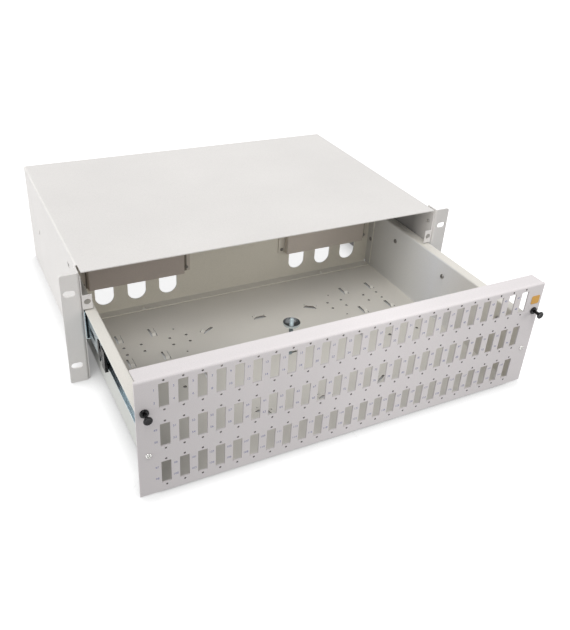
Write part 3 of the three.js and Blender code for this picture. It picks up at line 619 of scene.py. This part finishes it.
def lathe(profile, axis="y", place=(0, 0, 0), sides=40, closed=False):
    """A turned piece from [radius, height] pairs, its axis laid along x, y or z."""
    put = {"z": lambda r, h, c, s: (r * c, r * s, h), "y": lambda r, h, c, s: (r * c, h, r * s), "x": lambda r, h, c, s: (h, r * c, r * s)}[axis]
    v, rings = [], []
    for r, h in profile:
        if r < 1e-6:
            rings.append([len(v)])
            v.append(put(0, h, 1, 0))
        else:
            rings.append(list(range(len(v), len(v) + sides)))
            for i in range(sides):
                q = 2 * math.pi * i / sides
                v.append(put(r, h, math.cos(q), math.sin(q)))
    f = []
    pairs = list(zip(rings, rings[1:])) + ([(rings[-1], rings[0])] if closed else [])
    for a, b in pairs:
        for i in range(sides):
            j = (i + 1) % sides
            if len(a) == 1 and len(b) == 1:
                continue
            if len(a) == 1:
                f.append((a[0], b[i], b[j]))
            elif len(b) == 1:
                f.append((a[i], b[0], a[j]))
            else:
                f.append((a[i], b[i], b[j], a[j]))
    v = [(x + place[0], y + place[1], z + place[2]) for x, y, z in v]
    return mesh_of(v, f)


def merge(meshes):
    """Several separate closed meshes in one."""
    bm = bmesh.new()
    for me in meshes:
        bm.from_mesh(me)
    out = bpy.data.meshes.new("tmp")
    bm.to_mesh(out)
    bm.free()
    return out


def boolean(me, tools, operation):
    if not tools:
        return me
    o, t = temp(me), temp(merge(tools))
    mod = o.modifiers.new("b", "BOOLEAN")
    mod.operation, mod.object, mod.solver = operation, t, "MANIFOLD"
    out = applied(o)
    bpy.data.objects.remove(o)
    drop(t)
    return out


def cut(me, *tools):
    return boolean(me, list(tools), "DIFFERENCE")


def join(me, *others):
    for other in others:
        me = boolean(me, [other], "UNION")
    return me


def softened(me, width=0.22, segments=2, angle=32, clean=True):
    """Flat facets merged, then every sharp edge rounded as a coated sheet's is."""
    bm = bmesh.new()
    bm.from_mesh(me)
    bmesh.ops.remove_doubles(bm, verts=bm.verts, dist=0.0008)
    if clean:
        bmesh.ops.dissolve_limit(bm, angle_limit=math.radians(0.6), verts=bm.verts, edges=bm.edges)
    bm.to_mesh(me)
    bm.free()
    if width:
        o = temp(me)
        mod = o.modifiers.new("bevel", "BEVEL")
        mod.width, mod.segments = width, segments
        mod.limit_method, mod.angle_limit = "ANGLE", math.radians(angle)
        mod.use_clamp_overlap = True
        mod.miter_outer = "MITER_ARC"
        me = applied(o)
        bpy.data.objects.remove(o)
    return me


def mirrored(me):
    out = me.copy()
    out.transform(Matrix.Scale(-1, 4, (1, 0, 0)))
    out.flip_normals()
    return out


made = {}


def place(name, me, material, body, *replaces, smooth=35, slot=None, weighted=True):
    """Puts a finished mesh into the frame as a piece that rides on a body and stands for CAD nodes."""
    me = me.copy()
    me.name = name
    me.transform(TO_FRAME)
    me.materials.clear()
    me.materials.append(M[material])
    for p in me.polygons:
        p.use_smooth = True
        p.material_index = 0
    me.set_sharp_from_angle(angle=math.radians(smooth))
    o = bpy.data.objects.new(name, me)
    scene.collection.objects.link(o)
    if weighted:
        mod = o.modifiers.new("weighted", "WEIGHTED_NORMAL")
        mod.keep_sharp = True
        mod.weight = 80
        o.data = applied(o)
        o.data.name = name
    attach(o, body)
    if replaces:
        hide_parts(*replaces)
    made[name] = o
    return o


def both(name, me, material, body, cad=None, **more):
    """The right-hand piece and its mirror image. {} in a name stands for the side."""
    for side, s in SIDES:
        mesh = me if s > 0 else mirrored(me)
        place(name.format(side), mesh, material, body.format(side), *([cad.format(side)] if cad else []), **more)


# ------------------------------------------------------------------ housing
def housing():
    mid, top = 220.6, 131.8
    me = prism(section([(-mid, 0), (-mid, top), (mid, top), (mid, 0)], 1.2, 1.8), "y", 190.2, 492.0)
    lip = prism(section([(480.0, top), (491.4, top), (491.4, 114.4)], 1.2, 1.8), "x", -218.0, 218.0)
    adds = [lip]
    cuts = []
    for _, s in SIDES:
        tab = prism(section([(s * 220.6, 193.5), (s * 220.6, 189.3), (s * 210.5, 189.3)], 1.2, 1.0), "z", 88.9, 105.3)
        adds.append(tab)
        cuts.append(rod("y", 186, 194, s * 215.5, 97.5, 3.5, 36))
        cuts.append(box(s * 219.2, s * 224, 188, 206.5, 127, 136))
        for z in (18.2, 114.3):
            cuts.append(rod("x", *sorted((s * 218, s * 224)), 198.4, z, 2.3))
            cuts.append(prism(obround(242.0, z, 10.4, 4.4), "x", *sorted((s * 218, s * 224))))
        for y in (222.0, 427.3):
            cuts.append(rod("x", *sorted((s * 218, s * 224)), y, 67.0, 2.1))
    me = cut(join(me, *adds), *cuts)
    place("housing_shell_skin", softened(me), "housing_paint", "housing", "housing_shell")


def ear():
    x = 221.5
    me = prism(section([(x + 1, 206), (x + 1, 189), (241.3, 189)], 2.0, 2.0, 12), "z", 0, 132.5)
    cuts = [prism(obround(233.0, z, 12.0, 7.0), "y", 184, 194) for z in (66.25 - 44.45, 66.25 + 44.45)]
    r = 2.5
    for z, k in ((0, 1), (132.5, -1)):
        corner = [(242.3, z - k), (242.3, z + k * r)]
        for i in range(9):
            q = math.pi / 2 * i / 8
            corner.append((241.3 - r + r * math.cos(q), z + k * (r - r * math.sin(q))))
        corner.append((241.3 - r, z - k))
        cuts.append(prism(corner, "y", 184, 194))
    for z in (18.2, 114.3):
        cuts.append(rod("x", x - 1, x + 3, 198.4, z, 2.3))
        cuts.append(rod("x", x + 0.2, x + 2.2, 198.4, z, 2.3, 28, 4.25))
    me = softened(cut(me, *cuts), 0.25)
    both("ear_bracket_{}_skin", me, "housing_paint", "housing", "ear_bracket_{}")


def recess(axis, u, v, face, inward, size=1.0):
    """A cross recess cutter. face is the coordinate of the head's top and inward the direction into it, +1 or -1."""
    out = []
    for turn in (0, 90):
        pts = []
        w, l = 0.42 * size, 1.75 * size
        for a, b in ((-l, -w), (l, -w), (l, w), (-l, w)):
            q = math.radians(turn + 18)
            pts.append((u + a * math.cos(q) - b * math.sin(q), v + a * math.sin(q) + b * math.cos(q)))
        out.append(prism(pts, axis, *sorted((face - inward * 0.6, face + inward * 1.0 * size))))
    return out


def fasteners():
    # countersunk ear screws; the tip shows inside
    for i, z in enumerate((18.2, 114.3)):
        me = lathe([(0, -2.6), (1.5, -2.6), (1.9, -2.2), (1.9, 0.6), (3.4, 2.1), (3.5, 2.3), (3.3, 2.36), (0, 2.4)], "x", (221.1, 198.4, z), 32)
        me = cut(me, *recess("x", 198.4, z, 223.5, -1, 1.15))
        both("ear_screw_{}_" + ("upper" if i else "lower") + "_fine", me, "screw_steel", "housing", "ear_screw_{}_" + ("upper" if i else "lower"))
    for e, y in (("front", 222.0), ("rear", 427.3)):
        dome = [(0, 0.0), (1.8, 0.0), (1.8, 2.5), (3.0, 2.5), (3.1, 2.62), (2.9, 2.95), (2.4, 3.22), (1.6, 3.4), (1.2, 3.46), (1.1, 3.0), (0, 3.0)]
        both("slide_outer_rivet_{}_" + e + "_fine", lathe(dome, "x", (219.0, y, 67), 36), "housing_paint", "housing", "slide_outer_rivet_{}_" + e)
    for e, y in (("front", 37.0), ("middle", 139.3), ("rear", 241.4)):
        me = lathe([(0, 0), (0.9, 0.04), (1.7, 0.2), (2.4, 0.55), (2.85, 1.0), (3.0, 1.5), (2.95, 1.68), (1.7, 1.7), (1.7, 5.1), (1.4, 5.4), (0, 5.4)], "x", (204.8, y, 67), 32)
        me = cut(me, *recess("x", y, 67, 204.8, 1))
        both("slide_inner_screw_{}_" + e + "_fine", me, "dull_steel", "drawer", "slide_inner_screw_{}_" + e)
    rivet = [(0, 0), (1.6, 0), (1.6, 3.0), (2.8, 3.0), (2.9, 3.12), (2.75, 3.5), (2.2, 3.9), (1.5, 4.15), (1.15, 4.25), (1.05, 3.4), (0, 3.4)]
    both("rear_panel_rivet_{}_floor_fine", lathe(rivet, "z", (127.0, 295.2, 3.4), 32), "tray_paint", "drawer", "rear_panel_rivet_{}_floor", slot="screw_steel")
    both("rear_panel_rivet_{}_side_fine", lathe([(r, -h) for r, h in rivet], "x", (208.2, 296.0, 45.0), 32), "dull_steel", "drawer", "rear_panel_rivet_{}_side")
    for i, x in (("inner", 67.2), ("outer", 196.4)):
        for j, z in (("lower", 50.0), ("upper", 76.5)):
            me = lathe([(0, 0), (0.7, 0.04), (1.2, 0.18), (1.7, 0.5), (2.0, 0.95), (2.1, 1.4), (2.05, 1.58), (1.45, 1.6), (1.45, 6.0), (1.2, 6.2), (0, 6.2)], "y", (x, 301.0, z), 32)
            me = cut(me, *recess("y", x, z, 301.0, 1, 0.74))
            both("cover_screw_{}_" + i + "_" + j + "_fine", me, "dull_steel", "drawer", "cover_screw_{}_" + i + "_" + j)
    me = lathe([(0, 0), (0.9, 0.03), (1.7, 0.14), (2.4, 0.45), (2.8, 0.9), (2.95, 1.3), (2.9, 1.38), (1.45, 1.4), (1.45, 6.9), (1.2, 7.1), (0, 7.1)], "y", (213.5, -1.7, 48.8), 36)
    me = cut(me, *recess("y", 213.5, 48.8, -1.7, 1, 1.0))
    both("panel_screw_{}_fine", me, "screw_steel", "drawer", "panel_screw_{}")


# ------------------------------------------------------------------ ball slides
def slide_section(web, lip, half, out, groove):
    """Half-rounded raceway corners and plain lips. out is not used."""
    z = 67.0
    line = [(lip, z - half), (web, z - half), (web, z + half), (lip, z + half)]
    return section(line, 1.0, groove, 7)


def slides():
    for name, y0, y1, web, lip, half in (
        ("outer", 192.0, 462.0, 219.2, 212.5, 16.8),
        ("middle", 126.0, 363.0, 216.3, 210.6, 13.2),
        ("inner", 4.0, 274.0, 208.8, 214.4, 9.6),
    ):
        me = prism(slide_section(web, lip, half, 1 if web > lip else -1, 1.6), "y", y0, y1)
        cuts = []
        adds = []
        if name == "outer":
            cuts += [rod("x", 217, 221, y, 67, 2.1) for y in (222.0, 427.3)]
            cuts += [prism(obround(y, 67, 9, 4.4), "x", 217, 221) for y in (262, 318, 384)]
        if name == "middle":
            cuts += [prism(obround(y, 67, 26, 7), "x", 214, 218) for y in (176, 232, 288, 338)]
        if name == "inner":
            cuts += [rod("x", 207, 211, y, 67, 2.0) for y in (37.0, 139.3, 241.4)]
            cuts += [rod("x", 207, 211, 132.0, 67, 1.6)]
            cuts += [prism(obround(y, 67, 9, 4.2), "x", 207, 211) for y in (18, 66, 170, 206, 262)]
        me = softened(cut(me, *cuts), 0.16, 1)
        both("slide_" + name + "_{}_fine", me, "slide_zinc", {"outer": "housing", "middle": "slide_middle_{}", "inner": "drawer"}[name], "slide_" + name + "_{}")
    # bumper on the middle member's front end, open at two windows
    me = prism(rounded_rect(135.5, 67, 23, 24.8, 2.0), "x", 217.1, 218.2)
    me = cut(me, *[box(216, 219, 133.5, 141.5, 67 + k * 4, 67 + k * 14) for k in (-1, 1)])
    me = join(me, box(214.9, 218.2, 121.5, 125.7, 54.6, 79.4))
    me = cut(me, box(214, 216.0, 120, 123.4, 62.5, 71.5), *[box(217.9, 219, 129.2 + i * 1.5, 129.8 + i * 1.5, 63.5, 70.5) for i in range(10)])
    both("slide_bumper_{}_fine", softened(me, 0.3, 2), "black_nylon", "slide_middle_{}", "slide_bumper_{}")
    # release lever with a ribbed thumb pad and a spring tail
    p, z = 132.0, 67.0
    outline = [
        (p + 16, z - 1.5), (p + 16, z + 1.5), (p + 5.5, z + 2.2), (p + 2, z + 4.6), (p - 3, z + 4.6), (p - 10, z + 2.2), (p - 26, z + 2.2), (p - 29, z + 4.2),
        (p - 34, z + 4.2), (p - 34, z - 4.2), (p - 29, z - 4.2), (p - 26, z - 2.2), (p - 10, z - 2.2), (p - 3, z - 4.6), (p + 2, z - 4.6), (p + 5.5, z - 2.2),
    ]
    me = prism(outline, "x", 210.9, 212.9)
    me = join(me, rod("x", 208.6, 211.4, p, z, 1.2))
    me = cut(me, *[box(212.5, 214, p - 33.2 + i * 1.3, p - 32.6 + i * 1.3, z - 5, z + 5) for i in range(4)], prism(obround(p - 18, z, 12, 1.6), "x", 212.3, 214))
    both("slide_release_lever_{}_fine", softened(me, 0.3, 2), "black_nylon", "slide_release_lever_{}", "slide_release_lever_{}")
    # ball cages
    for name, y0, web, tip, ball_x, half in (("outer", 230.5, 217.3, 213.2, 214.6, 15.0), ("inner", 142.0, 214.8, 211.2, 212.6, 11.4)):
        y1 = y0 + 100
        t = 0.5
        line = [(tip, 67 - half), (web + 0.35, 67 - half), (web + 0.35, 67 + half), (tip, 67 + half)]
        me = prism(section(line, t, 0.7, 5), "y", y0, y1)
        cuts = [prism(rounded_rect(y0 + 15.5 + i * 23, 67, 15, 2 * half - 10, 2), "x", web - 1, web + 2) for i in range(4)]
        balls = [(ball_x, y0 + 10 + i * (y1 - y0 - 20) / 9, 67 + k * half) for k in (-1, 1) for i in range(10)]
        cuts += [rod("z", b[2] - 1.2, b[2] + 1.2, b[0], b[1], 0.8, 20) for b in balls]
        me = softened(cut(me, *cuts), 0.08, 1)
        both("ball_cage_" + name + "_{}_fine", me, "cage_steel", "ball_cage_" + name + "_{}", "ball_cage_" + name + "_{}")
        spheres = []
        for b in balls:
            bm = bmesh.new()
            bmesh.ops.create_icosphere(bm, subdivisions=3, radius=1.0, matrix=Matrix.Translation(b))
            ball = bpy.data.meshes.new("tmp")
            bm.to_mesh(ball)
            bm.free()
            spheres.append(ball)
        both("slide_balls_" + name + "_{}", merge(spheres), "ball_steel", "ball_cage_" + name + "_{}", smooth=80, weighted=False)


# ------------------------------------------------------------------ drawer
def tray():
    wall, floor, top = 207.4, 4.0, 86.4
    me = prism(section([(-218.8, top), (-wall, top), (-wall, floor), (wall, floor), (wall, top), (218.8, top)], 1.2, 1.6), "y", 3.0, 305.5)
    adds, cuts = [], []
    for _, s in SIDES:
        adds.append(prism(section([(s * wall, 9.0), (s * wall, 2.4), (s * 218.4, 2.4)], 1.2, 1.1), "z", 12, 80))
        cuts.append(rod("y", 0, 5, s * 213.5, 48.8, 1.9))
        for y in (37.0, 139.3, 241.4):
            cuts.append(rod("x", *sorted((s * 205, s * 209.5)), y, 67.0, 2.0))
        cuts.append(rod("x", *sorted((s * 205, s * 209.5)), 296.0, 45.0, 1.9))
        cuts.append(rod("z", 2, 6, s * 127.0, 295.2, 1.9))
        for x, y, r in (
            (173.0, 223.6, 1.7), (173.0, 209.6, 1.7), (152.6, 223.6, 1.7), (152.6, 209.6, 1.7), (117.9, 223.6, 1.7),
            (117.9, 209.6, 1.7), (97.5, 223.6, 1.7), (97.5, 209.6, 1.7), (107.7, 240.2, 1.1), (107.7, 191.0, 1.1),
            (133.0, 130.5, 2.0), (173.0, 130.0, 1.8),
        ):
            cuts.append(rod("z", 2, 6, s * x, y, r * 1.05))
    cuts.append(prism(obround(0, 143.0, 20, 2.6), "z", 2, 6))
    bridges = []
    rise, z0, t = 2.4, 3.4, 1.2
    low, high = [], []
    for i in range(17):
        x = -8.2 + 16.4 * i / 16
        q = max(0.0, min(1.0, (8.2 - abs(x)) / 3.2))
        h = rise * (q * q * (3 - 2 * q))
        low.append((x, z0 + h))
        high.append((x, z0 + h + t))
    arch = [(-11, z0)] + low + [(11, z0), (11, z0 + t)] + high[::-1] + [(-11, z0 + t)]
    for x, y, deg in (
        (173.5, 242.4, 90), (133.0, 242.4, 90), (173.5, 192.7, 90), (133.0, 192.7, 90), (71.5, 224.0, -32), (0, 226.6, 0), (102.0, 143.0, 90),
        (173.5, 93.3, 90), (133.0, 93.3, 90), (173.5, 43.6, 90), (133.0, 43.6, 90), (71.5, 62.0, 32), (0, 59.4, 0),
    ):
        for s in (1, -1) if x else (1,):
            m = Matrix.Translation((s * x, y, 0)) @ Matrix.Rotation(math.radians(s * deg), 4, "Z")
            opening = prism(rounded_rect(0, 0, 17, 7.6, 0.6, 2), "z", z0 - 1.5, z0 + 3.5)
            opening.transform(m)
            cuts.append(opening)
            bridge = prism(arch, "y", -2.3, 2.3)
            bridge.transform(m)
            bridges.append(bridge)
    me = cut(join(me, *adds), *cuts)
    me = join(me, *bridges)
    place("drawer_tray_skin", softened(me, 0.2), "tray_paint", "drawer", "drawer_tray")


def rear_panel():
    y, x, z = 304.9, 205.9, 4.9
    y0 = 292.5
    me = prism(section([(-x, y0), (-x, y), (x, y), (x, y0)], 1.2, 1.4), "z", z + 3.2, 84.5)
    me = join(me, prism(section([(y0, z + 0.6), (y, z + 0.6), (y, 83.5)], 1.2, 1.4), "x", -x + 1.6, x - 1.6))
    cuts = []
    for _, s in SIDES:
        for cx in (91.5, 131.7, 172.0):
            outline = [(b, a) for a, b in obround(43.0, s * cx, 53.0, 23.0, 20)]
            cuts.append(prism(outline, "y", 301, 309))
        for sx in (67.2, 196.4):
            for sz in (50.0, 76.5):
                cuts.append(rod("y", 301, 309, s * sx, sz, 1.8))
        cuts.append(rod("x", *sorted((s * 203, s * 208)), 296.0, 45.0, 1.9))
        cuts.append(rod("z", 4, 8, s * 127.0, 295.2, 1.9))
    place("rear_panel_skin", softened(cut(me, *cuts), 0.2), "tray_paint", "drawer", "rear_panel")


def covers():
    y, t = 295.6, 0.6
    backy = 304.3 - 0.3 - t
    me = prism(section([(62.5, backy), (72.6, backy), (72.6, y + t), (190.9, y + t), (190.9, backy), (201.0, backy)], 1.2, 1.1), "z", 45.0, 82.5)
    cuts = [rod("y", 300, 306, sx, sz, 1.8) for sx in (67.2, 196.4) for sz in (50.0, 76.5)]
    both("cable_entry_cover_{}_skin", softened(cut(me, *cuts), 0.2), "cover_paint", "drawer", "cable_entry_cover_{}")


def front_panel():
    half, y, top = 222.9, 0.75, 130.05
    me = prism(section([(y, 2.2), (y, top), (18.2, top)], 1.5, 1.9, 10), "x", -half, half)
    cuts = []
    for _, s in SIDES:
        cuts.append(box(s * 220.9, s * 224, 1.9, 20, 120, 135))
        cuts.append(rod("y", -2, 4, s * 215.5, 97.5, 3.1))
        cuts.append(rod("y", -2, 4, s * 213.5, 48.8, 1.9))
    for z in (24.7, 68.0, 111.3):
        for i in range(24):
            x = (i - 11.5) * 17.2
            cuts.append(prism(rounded_rect(x, z, 9.2, 25.2, 0.35, 2), "y", -2, 4))
            for k in (-15.5, 15.5):
                cuts.append(rod("y", -2, 4, x, z + k, 1.1, 16))
    place("front_panel_skin", softened(cut(me, *cuts), 0.16, 2), "panel_paint", "drawer", "front_panel")


def numbering():
    """Printed port numbers, left of each cutout: odd above, even below."""
    texts = []
    for row, z in enumerate((111.3, 68.0, 24.7)):
        for i in range(24):
            for j in (0, 1):
                n = row * 48 + i * 2 + j + 1
                curve = bpy.data.curves.new("tmp", "FONT")
                curve.body = str(n)
                curve.size = 3.4
                curve.align_x, curve.align_y = "CENTER", "CENTER"
                curve.extrude = 0.012
                curve.resolution_u = 3
                o = bpy.data.objects.new("tmp", curve)
                scene.collection.objects.link(o)
                me = bpy.data.meshes.new_from_object(o.evaluated_get(bpy.context.evaluated_depsgraph_get()))
                bpy.data.objects.remove(o)
                x = (i - 11.5) * 17.2 - 8.6
                me.transform(Matrix.Translation((x, -0.02, z + (7.2, -6.3)[j])) @ Matrix.Rotation(math.pi / 2, 4, "X"))
                texts.append(me)
    place("port_numbers", merge(texts), "port_ink", "drawer", weighted=False)


def latch_and_marker():
    ring = [(1.95, -2.2), (3.3, -2.2), (3.75, -2.1), (4.05, -1.75), (4.1, -1.3), (4.1, -0.45), (3.95, -0.3), (2.75, -0.3), (2.75, 6.6), (2.95, 7.0), (2.7, 7.6), (2.3, 9.0), (2.1, 9.2), (1.45, 9.2), (1.45, 6.6), (1.95, 4.0)]
    me = lathe(ring, "y", (215.5, 0, 97.5), 48, closed=True)
    me = cut(me, box(215.0, 216.0, 2.4, 10, 90, 105), box(208, 223, 2.4, 10, 97.0, 98.0))
    both("latch_grommet_{}_fine", me, "black_nylon", "drawer", "latch_grommet_{}")
    spool = [
        (0, -11.55), (1.6, -11.6), (2.6, -11.75), (3.2, -11.98), (3.6, -11.93), (3.95, -11.65), (4.1, -11.2), (4.08, -10.7), (3.8, -10.15), (3.2, -9.55),
        (2.6, -8.95), (2.15, -8.3), (1.88, -7.6), (1.78, -6.8), (1.78, -5.9), (1.7, -5.2), (1.3, -4.4), (1.25, -4.0), (1.25, 4.4), (1.1, 4.9), (0.7, 5.2), (0, 5.2),
    ]
    both("latch_plunger_{}_fine", lathe(spool, "y", (215.5, 0, 97.5), 48), "black_nylon", "latch_plunger_{}", "latch_plunger_{}", smooth=50)
    me = softened(prism(rounded_rect(214.5, 111.2, 11, 10, 1.6, 8), "y", -0.4, -0.15), 0.08, 2)
    place("blank_sticker_fine", me, "sticker_film", "drawer", "blank_sticker")


def hold_down():
    # threaded stud: a rolled single-start thread of 0.8 mm pitch
    sides, per, pitch = 40, 8, 0.8
    z0, z1 = 8.0, 51.4
    rows = int((z1 - z0) / pitch * per)
    v, rings = [], []

    def ring(z, radius):
        rings.append(len(v))
        for i in range(sides):
            q = 2 * math.pi * i / sides
            r = radius(q, z) if callable(radius) else radius
            v.append((r * math.cos(q), r * math.sin(q), z))

    for z, r in ((4.9, 3.3), (5.0, 3.4), (5.4, 3.4), (5.5, 3.3), (5.8, 2.4), (7.6, 2.35)):
        ring(z, r)

    def thread(q, z):
        p = (z / pitch - q / (2 * math.pi)) % 1.0
        wave = 1 - abs(2 * p - 1)
        fade = min(1.0, (z - z0) / 0.8, (z1 - z) / 0.8)
        return 2.4 - 0.42 * max(0.0, fade) * (1 - min(1, wave * 1.15))

    for k in range(rows + 1):
        ring(z0 + (z1 - z0) * k / rows, thread)
    ring(51.7, 2.15)
    ring(52.2, 1.75)
    f = []
    for a, b in zip(rings, rings[1:]):
        f += [(a + i, a + (i + 1) % sides, b + (i + 1) % sides, b + i) for i in range(sides)]
    f.append(tuple(range(sides))[::-1])
    f.append(tuple(range(rings[-1], rings[-1] + sides)))
    v = [(x, y + 143.0, z) for x, y, z in v]
    place("hold_down_stud_fine", mesh_of(v, f), "shank_zinc", "drawer", "hold_down_stud", smooth=40, weighted=False)
    profile = [
        (2.75, 41.2), (4.1, 41.2), (4.5, 41.35), (5.4, 42.2), (7.2, 43.3), (8.8, 44.3), (9.5, 44.9), (9.85, 45.5), (10.0, 46.2), (10.0, 47.5),
        (9.85, 47.95), (9.5, 48.1), (9.1, 48.0), (8.8, 47.6), (8.5, 46.7), (8.1, 46.0), (7.2, 45.3), (6.0, 44.6), (5.0, 44.15), (3.6, 43.85), (2.75, 43.8),
    ]
    me = lathe(profile, "z", (0, 143, 0), 72, closed=True)
    place("hold_down_nut_fine", me, "stud_zinc", "hold_down_nut", "hold_down_nut", smooth=42)


housing()
ear()
fasteners()
slides()
tray()
rear_panel()
covers()
front_panel()
numbering()
latch_and_marker()
hold_down()

# ------------------------------------------------------------------ floor
bm = bmesh.new()
bmesh.ops.create_grid(bm, x_segments=2, y_segments=2, size=300)
floor_mesh = bpy.data.meshes.new("floor")
bm.to_mesh(floor_mesh)
bm.free()
floor = bpy.data.objects.new("floor", floor_mesh)
scene.collection.objects.link(floor)
floor_material, tree, shader = new_material("studio_floor")
shader.inputs["Base Color"].default_value = (0.36, 0.36, 0.36, 1)
shader.inputs["Emission Color"].default_value = (1, 1, 1, 1)
# the floor glows evenly, with painted shade where a part stands within 30 mm above it
shade = node(tree, "ShaderNodeAmbientOcclusion", samples=8)
shade.inputs["Distance"].default_value = 0.03
glow = node(tree, "ShaderNodeMath", operation="MULTIPLY")
glow.inputs[1].default_value = 0.84
tree.links.new(shade.outputs["AO"], glow.inputs[0])
tree.links.new(glow.outputs[0], shader.inputs["Emission Strength"])
shader.inputs["Roughness"].default_value = 0.9
floor_mesh.materials.append(floor_material)
floor.visible_diffuse = False
